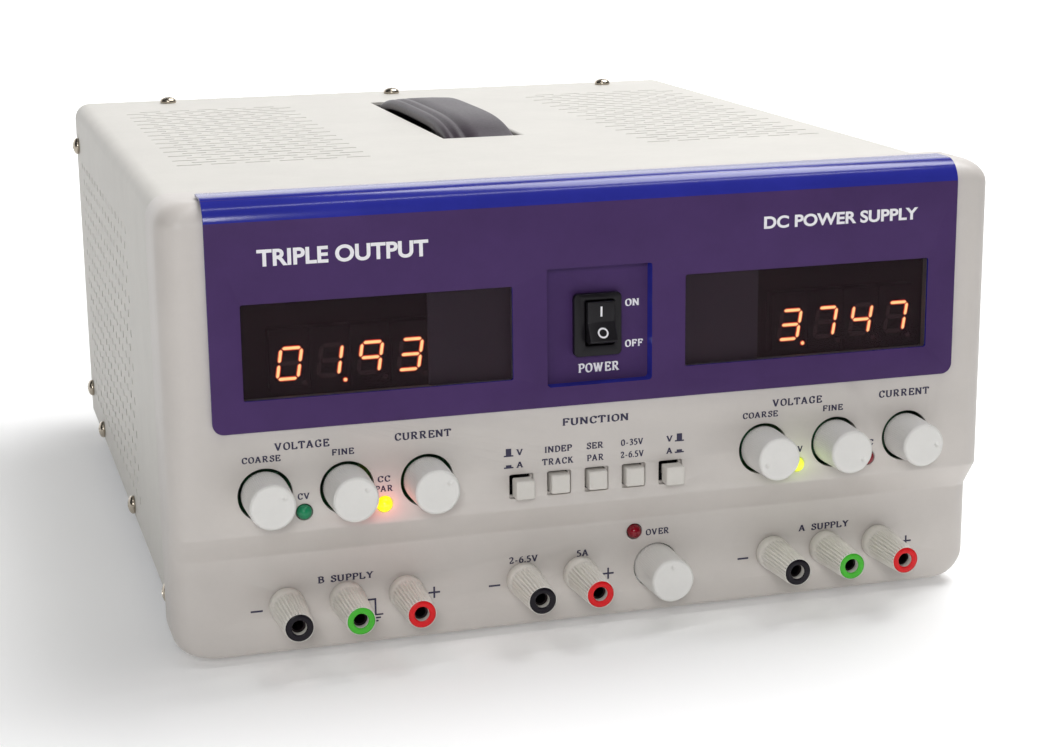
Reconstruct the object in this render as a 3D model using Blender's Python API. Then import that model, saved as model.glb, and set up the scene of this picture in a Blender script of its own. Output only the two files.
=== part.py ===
"""Bench power supply: two metered outputs, a fixed output, seven knobs and eight binding posts.

Frame: metres, +Z up, the feet stand on z = 0, the front panel faces -Y and +X is to its right.
Depths are measured backwards from the upper front face; FACE_Y places that face in the frame.
"""
import bmesh
import bpy
from math import cos, pi, radians, sin
from mathutils import Vector

GAP = 0.0003  # clearance between two pieces that touch

# Front bezel
BEZEL_WIDTH = 0.2712
BEZEL_DEPTH = 0.0265
BEZEL_BOTTOM = 0.0030
BEZEL_TOP = 0.1467
BEZEL_WALL = 0.0030
BEZEL_EDGE = 0.0075  # radius from the front face round to the sides and the top
BEZEL_BOTTOM_CORNER = 0.0090
BEZEL_TOP_CORNER = 0.0075
LOWER_FACE_DEPTH = 0.0070  # how far the lower face lies behind the upper one
LOWER_FACE_TOP = 0.0353
UPPER_FACE_BOTTOM = 0.0444

# Coloured fascia over the upper half of the bezel
FASCIA_WIDTH = 0.2438
FASCIA_BOTTOM = 0.0772
FASCIA_THICK = 0.0010
FASCIA_TOP = BEZEL_TOP + GAP + FASCIA_THICK
FASCIA_BACK = 0.0140
FASCIA_BEND = 0.0076
FASCIA_CORNER = 0.0035

# Display windows and the modules behind them
WINDOW_INNER_X = 0.0283
WINDOW_OUTER_X = 0.1122
WINDOW_BOTTOM = 0.0869
WINDOW_TOP = 0.1164
WINDOW_THICK = 0.0020
DIGIT_INNER_X = 0.0542

# Mains switch in its well
WELL_HALF_WIDTH = 0.0172
WELL_BOTTOM = 0.0835
WELL_TOP = 0.1210
WELL_DEPTH = 0.0032
WELL_WALL = 0.0010
SWITCH_HALF_WIDTH = 0.0078
SWITCH_BOTTOM = 0.0920
SWITCH_TOP = 0.1120
SWITCH_FLANGE = 0.0022
ROCKER_Z = 0.1026
ROCKER_HALF_WIDTH = 0.00450
ROCKER_X = 0.0006
ROCKER_TIP = 0.0072  # pivot to the tip of each rocker face
ROCKER_TIP_ANGLE = 59  # degrees up or down from straight ahead, with the rocker level
ROCKER_PIVOT_SET_BACK = 0.0005
ROCKER_THROW = radians(28)

# Rotary controls
KNOB_Z = 0.0569
KNOB_X = (0.1067, 0.0814, 0.0561)
KNOB_RADIUS = 0.0074
KNOB_FRONT_RADIUS = 0.0071
KNOB_REACH = 0.0137
KNOB_HOLE = 0.0085
SHAFT_RADIUS = 0.0030
TRIM_KNOB_X = 0.0218
TRIM_KNOB_Z = 0.0185
TRIM_KNOB_REACH = 0.0165

# Lamps
LAMP_X = (-0.0949, -0.0698, 0.0680, 0.0931)
LAMP_Z = 0.0505
OVERLOAD_LAMP_X = 0.0143
OVERLOAD_LAMP_Z = 0.0309
LAMP_RADIUS = 0.00245
LAMP_REACH = 0.0022

# Function buttons
BUTTON_COUNT = 5
BUTTON_PITCH = 0.01245
BUTTON_MIDDLE_X = -0.0009
BUTTON_Z = 0.0521
BUTTON_HALF = 0.0032
BUTTON_RECESS_HALF = 0.0040
BUTTON_RECESS_DEPTH = 0.0018
BUTTON_STEM_HALF = 0.0015
BUTTON_OUT_REACH = 0.0052
BUTTON_IN_REACH = 0.0022

# Binding posts
POST_Z = 0.0190
POST_PITCH = 0.01905
POST_GROUP_X = 0.0814
POST_FIXED_X = (-0.0237, -0.0047)
POST_REACH = 0.0225
POST_BASE_RADIUS = 0.0056
POST_FRONT_RADIUS = 0.0043
POST_HOLE_RADIUS = 0.0023
POST_STUD_RADIUS = 0.0026
POST_SOCKET_RADIUS = 0.0020

# Sheet-metal cover
COVER_HALF_WIDTH = 0.1326
COVER_TOP = 0.1440
COVER_BOTTOM = 0.0110
COVER_FRONT = BEZEL_DEPTH + GAP
COVER_BACK = 0.3030
COVER_SHEET = 0.0012
COVER_BEND = 0.0060

# Carrying strap in its slot
SLOT_X = 0.0018
SLOT_HALF_WIDTH = 0.0146
SLOT_FRONT = 0.1380
SLOT_BACK = 0.2618
SLOT_LIP = 0.0080
STRAP_HALF_WIDTH = 0.0132
STRAP_THICK = 0.0045
STRAP_RISE = 0.0050  # crown of the strap above the cover
STRAP_END_DROP = 0.0100  # each end sits this far below the top of the cover
STRAP_OVERHANG = 0.0120  # how far each end runs under the cover
KEEPER_DEPTH = 0.0085

# Chassis
TRAY_BOTTOM = 0.0090
TRAY_SHEET = 0.0015
TRAY_FLANGE_TOP = 0.0340
TRAY_WALL_TOP = 0.0700
REAR_PANEL_DEPTH = 0.2990
REAR_FLANGE = 0.0140
TRAY_BACK = REAR_PANEL_DEPTH - REAR_FLANGE - GAP
FOOT_RADIUS = 0.0090
FOOT_X = 0.1100
FOOT_DEPTHS = (0.0480, 0.2760)

# Screws
SCREW_HEAD_RADIUS = 0.0034
SCREW_HEAD_HEIGHT = 0.0026
SCREW_SHANK_RADIUS = 0.0020
TOP_SCREW_X = (-0.0943, 0.0027, 0.0997)
REAR_SCREW_DEPTH = 0.2935
SIDE_SCREW_DEPTHS = (0.0400, 0.1400, 0.2500)
SIDE_SCREW_Z = 0.0152
REAR_SCREW_Z = (0.0226, 0.1275)

# Inside
BOARD_DEPTH = 0.0205
BOARD_THICK = 0.0016
TRANSFORMER_DEPTH = 0.2060
SINK_HALF_WIDTH = 0.1150
SINK_BOTTOM = 0.0520
SINK_TOP = 0.1320
SINK_BASE = 0.0050
SINK_DEPTH = 0.0320
SINK_FINS = 15
INLET_X = 0.0880
INLET_Z = 0.0320

# The object's middle, front to back, is at y = 0
FRONT_REACH = POST_REACH - LOWER_FACE_DEPTH
REAR_REACH = REAR_PANEL_DEPTH + TRAY_SHEET + GAP + SINK_DEPTH
FACE_Y = (FRONT_REACH - REAR_REACH) / 2


def at(x, depth, z):
    """A point of the frame from its depth behind the upper front face."""
    return Vector((x, FACE_Y + depth, z))


def material(name, colour, roughness, metallic=0.0, glow=None):
    """A Principled material; glow is the emission colour of a lit lamp."""
    made = bpy.data.materials.get(name)
    if made:
        return made
    made = bpy.data.materials.new(name)
    made.use_nodes = True
    shader = made.node_tree.nodes["Principled BSDF"]
    shader.inputs["Base Color"].default_value = (*colour, 1.0)
    shader.inputs["Roughness"].default_value = roughness
    shader.inputs["Metallic"].default_value = metallic
    if glow:
        shader.inputs["Emission Color"].default_value = (*glow, 1.0)
        shader.inputs["Emission Strength"].default_value = 2.0
    return made


def part(name, mesh_maker, place, look, smooth=False):
    """One named object from a function that fills a bmesh in the object's own space."""
    bm = bmesh.new()
    mesh_maker(bm)
    bmesh.ops.recalc_face_normals(bm, faces=bm.faces)
    mesh = bpy.data.meshes.new(name)
    bm.to_mesh(mesh)
    bm.free()
    if smooth:
        mesh.shade_smooth()
        mesh.set_sharp_from_angle(angle=radians(35))
    mesh.materials.append(look)
    made = bpy.data.objects.new(name, mesh)
    made.location = place
    bpy.context.scene.collection.objects.link(made)
    return made


def guide(name, mesh_maker, place=Vector((0, 0, 0))):
    """A hidden object that only shapes another through a Boolean."""
    made = part(name, mesh_maker, place, material("guide", (0.8, 0.2, 0.2), 0.5))
    made.hide_render = True
    made.display_type = "WIRE"
    return made


def combine(target, other, operation):
    """Add or cut other, with the exact solver."""
    modifier = target.modifiers.new(operation.lower() + "_" + other.name, "BOOLEAN")
    modifier.operation = operation
    modifier.solver = "EXACT"
    modifier.object = other


def cut(target, name, mesh_maker, place=Vector((0, 0, 0))):
    combine(target, guide("cut_" + name, mesh_maker, place), "DIFFERENCE")


def add(target, name, mesh_maker, place=Vector((0, 0, 0))):
    combine(target, guide("add_" + name, mesh_maker, place), "UNION")


def loft(bm, rings):
    """Closed body through rings of equal point counts, capped at both ends."""
    rows = [[bm.verts.new(point) for point in ring] for ring in rings]
    count = len(rows[0])
    for lower, upper in zip(rows, rows[1:]):
        for i in range(count):
            j = (i + 1) % count
            bm.faces.new((lower[i], lower[j], upper[j], upper[i]))
    bm.faces.new(rows[0][::-1])
    bm.faces.new(rows[-1])


def block(bm, low, high):
    """Axis-aligned box between two corners."""
    (x0, y0, z0), (x1, y1, z1) = low, high
    base = [(x0, y0), (x1, y0), (x1, y1), (x0, y1)]
    loft(bm, [[(x, y, z) for x, y in base] for z in (z0, z1)])


def prism(bm, outline, axis, start, end):
    """Outline extruded along X, Y or Z; its points are the two other coordinates in order."""
    def placed(a, b, c):
        return {"X": (c, a, b), "Y": (a, c, b), "Z": (a, b, c)}[axis]
    loft(bm, [[placed(a, b, c) for a, b in outline] for c in (start, end)])


def turned(bm, profile, segments, axis="Y", centre=(0.0, 0.0)):
    """Profile of (radius, place along the axis) turned round Y, X or Z; both ends are capped."""
    rings = []
    for radius, along in profile:
        ring = []
        for i in range(segments):
            angle = 2 * pi * (i + 0.5) / segments
            a = centre[0] + radius * cos(angle)
            b = centre[1] + radius * sin(angle)
            ring.append({"Y": (a, along, b), "X": (along, a, b), "Z": (a, b, along)}[axis])
        rings.append(ring)
    loft(bm, rings)


def rounded(x0, x1, z0, z1, radii, steps=5):
    """Rectangle outline; radii are for its bottom left, bottom right, top right and top left."""
    corners = ((x0, z0, 1, 1, pi), (x1, z0, -1, 1, 1.5 * pi), (x1, z1, -1, -1, 0), (x0, z1, 1, -1, 0.5 * pi))
    outline = []
    for (x, z, sx, sz, first), radius in zip(corners, radii):
        if radius == 0:
            outline.append((x, z))
            continue
        for i in range(steps + 1):
            angle = first + 0.5 * pi * i / steps
            outline.append((x + sx * radius + radius * cos(angle), z + sz * radius + radius * sin(angle)))
    return outline


# ---------------------------------------------------------------- bezel

def bezel_rings(inset, back):
    """Sections of the bezel from bottom to top, each a U whose front follows the stepped face."""
    bottom = BEZEL_BOTTOM + inset
    top = BEZEL_TOP - inset
    low_corner = BEZEL_BOTTOM_CORNER - inset
    top_corner = max(BEZEL_TOP_CORNER - inset, 0.0012)
    edge = max(BEZEL_EDGE - inset, 0.0012)
    heights = [bottom + low_corner * (1 - cos(0.5 * pi * i / 5)) for i in range(6)]
    heights += [LOWER_FACE_TOP, UPPER_FACE_BOTTOM, 0.5 * (UPPER_FACE_BOTTOM + top)]
    heights += [top - top_corner * (1 - cos(0.5 * pi * i / 4)) for i in range(4, -1, -1)]
    rings = []
    for z in heights:
        half = BEZEL_WIDTH / 2 - inset
        if z < bottom + low_corner:
            drop = bottom + low_corner - z
            half -= low_corner - max(low_corner**2 - drop**2, 0) ** 0.5
        if z > top - top_corner:
            rise = z - top + top_corner
            half -= top_corner - max(top_corner**2 - rise**2, 0) ** 0.5
        slope = (UPPER_FACE_BOTTOM - z) / (UPPER_FACE_BOTTOM - LOWER_FACE_TOP)
        front = inset + LOWER_FACE_DEPTH * min(max(slope, 0), 1)
        if z > top - edge:
            front += edge - max(edge**2 - (z - top + edge) ** 2, 0) ** 0.5
        corner = [(half - edge * (1 - sin(a)), front + edge * (1 - cos(a)))
                  for a in (0.5 * pi * i / 4 for i in range(5))]
        side = corner + [(half, back)]
        ring = [(-x, y, z) for x, y in reversed(side)] + [(x, y, z) for x, y in side]
        rings.append(ring)
    return rings


def panel_openings(bm):
    """Every opening through the bezel's front wall."""
    front, back = -0.004, BEZEL_WALL + 0.004
    for side in (-1, 1):
        xs = sorted((side * (WINDOW_INNER_X - GAP), side * (WINDOW_OUTER_X + GAP)))
        block(bm, (xs[0], front, WINDOW_BOTTOM - GAP), (xs[1], back, WINDOW_TOP + GAP))
        for x in KNOB_X:
            turned(bm, [(KNOB_HOLE, front), (KNOB_HOLE, back)], 20, centre=(side * x, KNOB_Z))
    hole = LAMP_RADIUS + GAP
    for x in LAMP_X:
        turned(bm, [(hole, front), (hole, back)], 12, centre=(x, LAMP_Z))
    well = WELL_HALF_WIDTH + WELL_WALL + GAP
    block(bm, (-well, front, WELL_BOTTOM - WELL_WALL - GAP), (well, back, WELL_TOP + WELL_WALL + GAP))
    half = BUTTON_HALF + GAP
    for x in button_places():
        block(bm, (x - half, front, BUTTON_Z - half), (x + half, back, BUTTON_Z + half))


def button_recesses(bm):
    """Shallow square recess round each button."""
    half = BUTTON_RECESS_HALF
    for x in button_places():
        block(bm, (x - half, -0.003, BUTTON_Z - half), (x + half, BUTTON_RECESS_DEPTH, BUTTON_Z + half))


def lower_openings(bm):
    """Openings through the set-back lower face."""
    front, back = LOWER_FACE_DEPTH - 0.004, LOWER_FACE_DEPTH + BEZEL_WALL + 0.004
    for x in post_places():
        stud = POST_STUD_RADIUS + GAP
        turned(bm, [(stud, front), (stud, back)], 12, centre=(x, POST_Z))
    turned(bm, [(KNOB_HOLE, front), (KNOB_HOLE, back)], 20, centre=(TRIM_KNOB_X, TRIM_KNOB_Z))
    hole = LAMP_RADIUS + GAP
    turned(bm, [(hole, front - 0.006), (hole, back)], 12, centre=(OVERLOAD_LAMP_X, OVERLOAD_LAMP_Z))


def front_bezel(look):
    made = part("front_bezel", lambda bm: loft(bm, bezel_rings(0, BEZEL_DEPTH)), at(0, 0, 0), look, True)
    cut(made, "bezel_inside", lambda bm: loft(bm, bezel_rings(BEZEL_WALL, BEZEL_DEPTH + 0.01)), at(0, 0, 0))
    cut(made, "upper_openings", panel_openings, at(0, 0, 0))
    cut(made, "lower_openings", lower_openings, at(0, 0, 0))
    cut(made, "button_recesses", button_recesses, at(0, 0, 0))


# ---------------------------------------------------------------- fascia, windows, displays

def fascia_profile():
    """Side section: up the front, round the bend and back over the top, then the same inside."""
    outer, inner = -(GAP + FASCIA_THICK), -GAP
    under = FASCIA_TOP - FASCIA_THICK
    bend = [0.5 * pi * i / 5 for i in range(6)]
    outside = [(outer + FASCIA_BEND * (1 - cos(a)), FASCIA_TOP - FASCIA_BEND * (1 - sin(a))) for a in bend]
    radius = FASCIA_BEND - FASCIA_THICK
    inside = [(inner + radius * (1 - cos(a)), under - radius * (1 - sin(a))) for a in reversed(bend)]
    return ([(outer, FASCIA_BOTTOM)] + outside + [(FASCIA_BACK, FASCIA_TOP), (FASCIA_BACK, under)]
            + inside + [(inner, FASCIA_BOTTOM)])


def fascia_openings(bm):
    front, back = -0.004, BEZEL_WALL
    for side in (-1, 1):
        xs = sorted((side * WINDOW_INNER_X, side * WINDOW_OUTER_X))
        block(bm, (xs[0], front, WINDOW_BOTTOM), (xs[1], back, WINDOW_TOP))
    block(bm, (-WELL_HALF_WIDTH, front, WELL_BOTTOM), (WELL_HALF_WIDTH, back, WELL_TOP))


def well_tub(bm):
    """Walls and floor of the switch well, moulded with the fascia."""
    wide = WELL_HALF_WIDTH + WELL_WALL
    block(bm, (-wide, -GAP - FASCIA_THICK / 2, WELL_BOTTOM - WELL_WALL),
          (wide, WELL_DEPTH + WELL_WALL, WELL_TOP + WELL_WALL))


def well_space(bm):
    block(bm, (-WELL_HALF_WIDTH, -0.005, WELL_BOTTOM), (WELL_HALF_WIDTH, WELL_DEPTH, WELL_TOP))
    inner = SWITCH_HALF_WIDTH - 0.0012 + GAP
    block(bm, (-inner, WELL_DEPTH, SWITCH_BOTTOM + 0.0012 - GAP),
          (inner, WELL_DEPTH + 0.005, SWITCH_TOP - 0.0012 + GAP))


def fascia_corners(bm):
    """Removes the square outside corners at the fascia's lower edge."""
    half = FASCIA_WIDTH / 2
    for side in (-1, 1):
        arc = [(side * (half - FASCIA_CORNER * (1 - sin(a))), FASCIA_BOTTOM + FASCIA_CORNER * (1 - cos(a)))
               for a in (0.5 * pi * i / 5 for i in range(6))]
        outline = arc + [(side * (half + 0.002), FASCIA_BOTTOM + FASCIA_CORNER),
                         (side * (half + 0.002), FASCIA_BOTTOM - 0.002),
                         (side * (half - FASCIA_CORNER), FASCIA_BOTTOM - 0.002)]
        prism(bm, outline, "Y", -0.005, 0.005)


def blue_fascia(look):
    half = FASCIA_WIDTH / 2
    made = part("blue_fascia", lambda bm: prism(bm, fascia_profile(), "X", -half, half), at(0, 0, 0), look)
    add(made, "well_tub", well_tub, at(0, 0, 0))
    cut(made, "fascia_windows", fascia_openings, at(0, 0, 0))
    cut(made, "well_space", well_space, at(0, 0, 0))
    cut(made, "fascia_corners", fascia_corners, at(0, 0, 0))


def display(side, word, window_look, module_look):
    """Tinted window, and the digit module on its little board behind it."""
    def window(bm):
        xs = sorted((side * WINDOW_INNER_X, side * WINDOW_OUTER_X))
        block(bm, (xs[0], 0, WINDOW_BOTTOM), (xs[1], WINDOW_THICK, WINDOW_TOP))

    def digits(bm):
        xs = sorted((side * (DIGIT_INNER_X + 0.002), side * (WINDOW_OUTER_X - 0.002)))
        block(bm, (xs[0], 0, WINDOW_BOTTOM + 0.004), (xs[1], 0.008, WINDOW_TOP - 0.004))

    def board(bm):
        xs = sorted((side * (WINDOW_INNER_X + 0.001), side * (WINDOW_OUTER_X + 0.006)))
        block(bm, (xs[0], 0.0079, WINDOW_BOTTOM - 0.004), (xs[1], 0.0079 + BOARD_THICK, WINDOW_TOP + 0.004))

    part("display_window_" + word, window, at(0, -GAP, 0), window_look)
    module = part("display_module_" + word, digits, at(0, 0.0045, 0), module_look)
    add(module, "display_board_" + word, board, at(0, 0.0045, 0))


# ---------------------------------------------------------------- mains switch

def rocker_profile():
    """Side outline about the pivot: two faces in a shallow V, rounded ends and a narrow root."""
    def polar(radius, degrees):
        return (-radius * cos(radians(degrees)), radius * sin(radians(degrees)))
    half = [(-0.0019, 0.0), polar(ROCKER_TIP, ROCKER_TIP_ANGLE), polar(0.0069, 72), polar(0.0066, 88)]
    half += [polar(0.0058, 115), polar(0.0045, 150)]
    return half + [(y, -z) for y, z in reversed(half[1:])]


def power_switch(housing_look, rocker_look):
    flange_front = WELL_DEPTH - GAP - SWITCH_FLANGE
    pivot_depth = flange_front + ROCKER_PIVOT_SET_BACK
    inner = SWITCH_HALF_WIDTH - 0.0012

    def flange(bm):
        block(bm, (-SWITCH_HALF_WIDTH, flange_front, SWITCH_BOTTOM),
              (SWITCH_HALF_WIDTH, WELL_DEPTH - GAP, SWITCH_TOP))

    def body(bm):
        block(bm, (-inner, WELL_DEPTH - GAP - 0.0005, SWITCH_BOTTOM + 0.0012),
              (inner, 0.0155, SWITCH_TOP - 0.0012))
        for z in (ROCKER_Z - 0.005, ROCKER_Z + 0.005):
            block(bm, (-0.0024, 0.0150, z - 0.0004), (0.0024, 0.0225, z + 0.0004))

    def pocket(bm):
        half_x, half_z = ROCKER_HALF_WIDTH + GAP, ROCKER_TIP
        block(bm, (ROCKER_X - half_x, flange_front - 0.003, ROCKER_Z - half_z),
              (ROCKER_X + half_x, pivot_depth + 0.0062, ROCKER_Z + half_z))

    housing = part("power_switch_housing", flange, at(0, 0, 0), housing_look)
    add(housing, "switch_body", body, at(0, 0, 0))
    cut(housing, "switch_pocket", pocket, at(0, 0, 0))
    rocker = part("power_rocker",
                  lambda bm: prism(bm, rocker_profile(), "X", -ROCKER_HALF_WIDTH, ROCKER_HALF_WIDTH),
                  at(ROCKER_X, pivot_depth, ROCKER_Z), rocker_look)
    rocker.rotation_euler.x = -ROCKER_THROW / 2


# ---------------------------------------------------------------- knobs, lamps, buttons

def knob_mesh(bm, reach, shaft):
    """Tapered cap, from its front to its rear face, and the shaft behind it; the origin is on the panel."""
    front = KNOB_FRONT_RADIUS
    profile = [(front - 0.0008, -reach), (front, -reach + 0.0006), (KNOB_RADIUS - 0.0003, -0.003),
               (KNOB_RADIUS, -0.0022), (KNOB_RADIUS, 0.0008), (SHAFT_RADIUS, 0.0008), (SHAFT_RADIUS, shaft)]
    turned(bm, profile, 20)


def knob_list():
    """Name, x, depth of the panel, z and reach of each knob."""
    kinds = ("voltage_coarse", "voltage_fine", "current")
    knobs = [("knob_left_" + kind, -x, 0.0, KNOB_Z, KNOB_REACH) for kind, x in zip(kinds, KNOB_X)]
    knobs += [("knob_right_" + kind, x, 0.0, KNOB_Z, KNOB_REACH) for kind, x in zip(kinds, reversed(KNOB_X))]
    knobs.append(("knob_fixed_output_trim", TRIM_KNOB_X, LOWER_FACE_DEPTH, TRIM_KNOB_Z, TRIM_KNOB_REACH))
    return knobs


def knobs(look):
    for name, x, depth, z, reach in knob_list():
        shaft = BOARD_DEPTH - 0.002 - depth
        part(name, lambda bm: knob_mesh(bm, reach, shaft), at(x, depth, z), look, True)


def lamp_mesh(bm, back):
    """Domed lamp with its pair of legs drawn as one narrow root."""
    radius = LAMP_RADIUS
    dome = [(radius * sin(a), -LAMP_REACH + radius * (1 - cos(a))) for a in (0.15 * pi, 0.3 * pi, 0.5 * pi)]
    turned(bm, [(0.0004, -LAMP_REACH)] + dome + [(radius, 0.0045), (0.0009, 0.0045), (0.0009, back)], 12)


def lamps(looks):
    places = {
        "lamp_left_constant_voltage": (LAMP_X[0], 0.0, LAMP_Z),
        "lamp_left_constant_current": (LAMP_X[1], 0.0, LAMP_Z),
        "lamp_right_constant_voltage": (LAMP_X[2], 0.0, LAMP_Z),
        "lamp_right_constant_current": (LAMP_X[3], 0.0, LAMP_Z),
        "lamp_overload": (OVERLOAD_LAMP_X, LOWER_FACE_DEPTH, OVERLOAD_LAMP_Z),
    }
    for name, (x, depth, z) in places.items():
        back = BOARD_DEPTH - GAP - depth
        part(name, lambda bm: lamp_mesh(bm, back), at(x, depth, z), looks[name], True)


def button_places():
    middle = (BUTTON_COUNT - 1) / 2
    return [BUTTON_MIDDLE_X + (i - middle) * BUTTON_PITCH for i in range(BUTTON_COUNT)]


def button_caps(look):
    """Square caps on stems; the two outer ones stand out and the three in the middle are latched in."""
    def cap(bm, reach):
        half, stem = BUTTON_HALF, BUTTON_STEM_HALF
        slim = half - 0.0004
        rear = BUTTON_IN_REACH + 0.0075 - reach
        rings = [(slim, -reach), (half, -reach + 0.0004),
                 (half, rear - 0.005), (stem, rear - 0.005), (stem, rear)]
        loft(bm, [[(-h, y, -h), (h, y, -h), (h, y, h), (-h, y, h)] for h, y in rings])

    for i, x in enumerate(button_places()):
        reach = BUTTON_OUT_REACH if i in (0, BUTTON_COUNT - 1) else BUTTON_IN_REACH
        part(f"button_cap_{i + 1}", lambda bm: cap(bm, reach), at(x, 0, BUTTON_Z), look)


def button_switch_bank(look):
    places = button_places()
    reach = BUTTON_PITCH / 2 - 0.0004

    def stations(bm):
        block(bm, (places[0] - reach, 0.0072, BUTTON_Z - 0.0055),
              (places[-1] + reach, BOARD_DEPTH - GAP, BUTTON_Z + 0.0055))

    def bores(bm):
        half = BUTTON_STEM_HALF + GAP
        for x in places:
            block(bm, (x - half, 0.0060, BUTTON_Z - half), (x + half, 0.0180, BUTTON_Z + half))

    bank = part("button_switch_bank", stations, at(0, 0, 0), look)
    cut(bank, "stem_bores", bores, at(0, 0, 0))


def control_board(look):
    """Board behind the panel with a potentiometer body and bushing for each knob."""
    def board(bm):
        block(bm, (-0.125, BOARD_DEPTH, 0.0125), (0.125, BOARD_DEPTH + BOARD_THICK, 0.0680))

    def potentiometers(bm):
        for _, x, depth, z, _ in knob_list():
            tail = BOARD_DEPTH + 0.0003
            half = 0.0052
            block(bm, (x - half, depth + 0.0060, z - half), (x + half, tail, z + half))

    def bushings(bm):
        for _, x, depth, z, _ in knob_list():
            turned(bm, [(0.0046, depth + 0.0016), (0.0046, depth + 0.0062)], 12, centre=(x, z))

    def bores(bm):
        for _, x, depth, z, _ in knob_list():
            bore = SHAFT_RADIUS + GAP
            turned(bm, [(bore, depth), (bore, BOARD_DEPTH - 0.0014)], 16, centre=(x, z))

    made = part("control_board", board, at(0, 0, 0), look)
    add(made, "potentiometers", potentiometers, at(0, 0, 0))
    add(made, "bushings", bushings, at(0, 0, 0))
    cut(made, "shaft_bores", bores, at(0, 0, 0))


# ---------------------------------------------------------------- binding posts

def post_places():
    left = [-POST_GROUP_X + i * POST_PITCH for i in (-1, 0, 1)]
    right = [POST_GROUP_X + i * POST_PITCH for i in (-1, 0, 1)]
    return left + list(POST_FIXED_X) + right


def post_cap_mesh(bm):
    """Tapered cap open from end to end: a wide bore over the stud and a plug hole at the front."""
    front = -POST_REACH
    slide = POST_STUD_RADIUS + GAP
    base = POST_BASE_RADIUS
    outside = [(base - 0.0004, -GAP), (base, -0.0010), (base, -0.0045),
               (POST_FRONT_RADIUS + 0.0002, front + 0.0015), (POST_FRONT_RADIUS - 0.0004, front)]
    inside = [(POST_HOLE_RADIUS, front), (POST_HOLE_RADIUS, front + 0.0025),
              (slide, front + 0.0025), (slide, -GAP)]
    segments = 16
    rows = []
    for radius, along in outside + inside:
        ring = [2 * pi * (i + 0.5) / segments for i in range(segments)]
        rows.append([bm.verts.new((radius * cos(a), along, radius * sin(a))) for a in ring])
    rows.append(rows[0])
    for first, second in zip(rows, rows[1:]):
        for i in range(segments):
            j = (i + 1) % segments
            bm.faces.new((first[i], first[j], second[j], second[i]))


def post_core(bm):
    """Threaded stud with its 4 mm socket, and the nut and washer behind the panel."""
    stud, nut = POST_STUD_RADIUS, 0.0050
    front = -POST_REACH + 0.0031
    washer = BEZEL_WALL + GAP
    socket_end = front + 0.0170
    profile = [(POST_SOCKET_RADIUS, socket_end), (POST_SOCKET_RADIUS, front), (stud, front), (stud, washer),
               (nut, washer), (nut, washer + 0.0030), (stud, washer + 0.0030), (stud, washer + 0.0065)]
    turned(bm, profile, 12)


def binding_posts(cap_look, core_looks):
    for i, x in enumerate(post_places()):
        place = at(x, LOWER_FACE_DEPTH, POST_Z)
        part(f"post_cap_{i + 1}", post_cap_mesh, place, cap_look, True)
        part(f"post_core_{i + 1}", post_core, place, core_looks, True)


# ---------------------------------------------------------------- cover, tray, rear panel

def cover_section(half, top, bend):
    """Half-open section: up one side, over the top and down the other."""
    arc = [0.5 * pi * i / 4 for i in range(5)]
    right = [(half - bend * (1 - cos(a)), top - bend * (1 - sin(a))) for a in arc]
    return [(half, COVER_BOTTOM)] + right + [(-x, z) for x, z in reversed(right)] + [(-half, COVER_BOTTOM)]


def slot_lip(bm, outward):
    """The lip's outer or inner walls, as a block round the slot."""
    grow = COVER_SHEET if outward else 0.0
    low = COVER_TOP - SLOT_LIP - (0.0 if outward else 0.004)
    half = SLOT_HALF_WIDTH + grow
    block(bm, (SLOT_X - half, SLOT_FRONT, low),
          (SLOT_X + half, SLOT_BACK, COVER_TOP - (0.0006 if outward else -0.004)))


def screw_holes(bm):
    """Clearance holes through the cover for its thirteen screws."""
    hole = SCREW_SHANK_RADIUS + GAP
    top = COVER_TOP
    for x in TOP_SCREW_X:
        turned(bm, [(hole, top - 0.008), (hole, top + 0.002)], 12, "Z", (x, REAR_SCREW_DEPTH))
    for side in (-1, 1):
        ends = sorted((side * (COVER_HALF_WIDTH - 0.0065), side * (COVER_HALF_WIDTH + 0.002)))
        for depth, z in side_screw_places():
            turned(bm, [(hole, ends[0]), (hole, ends[1])], 12, "X", (depth, z))


def side_screw_places():
    rear = [(REAR_SCREW_DEPTH, z) for z in REAR_SCREW_Z]
    return [(depth, SIDE_SCREW_Z) for depth in SIDE_SCREW_DEPTHS] + rear


def top_cover(look):
    outer = cover_section(COVER_HALF_WIDTH, COVER_TOP, COVER_BEND)
    inner = cover_section(COVER_HALF_WIDTH - COVER_SHEET, COVER_TOP - COVER_SHEET, COVER_BEND - COVER_SHEET)
    outline = outer + list(reversed(inner))
    made = part("top_cover", lambda bm: prism(bm, outline, "Y", COVER_FRONT, COVER_BACK), at(0, 0, 0), look)
    add(made, "slot_lip", lambda bm: slot_lip(bm, True), at(0, 0, 0))
    cut(made, "slot", lambda bm: slot_lip(bm, False), at(0, 0, 0))
    cut(made, "cover_screw_holes", screw_holes, at(0, 0, 0))


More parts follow.
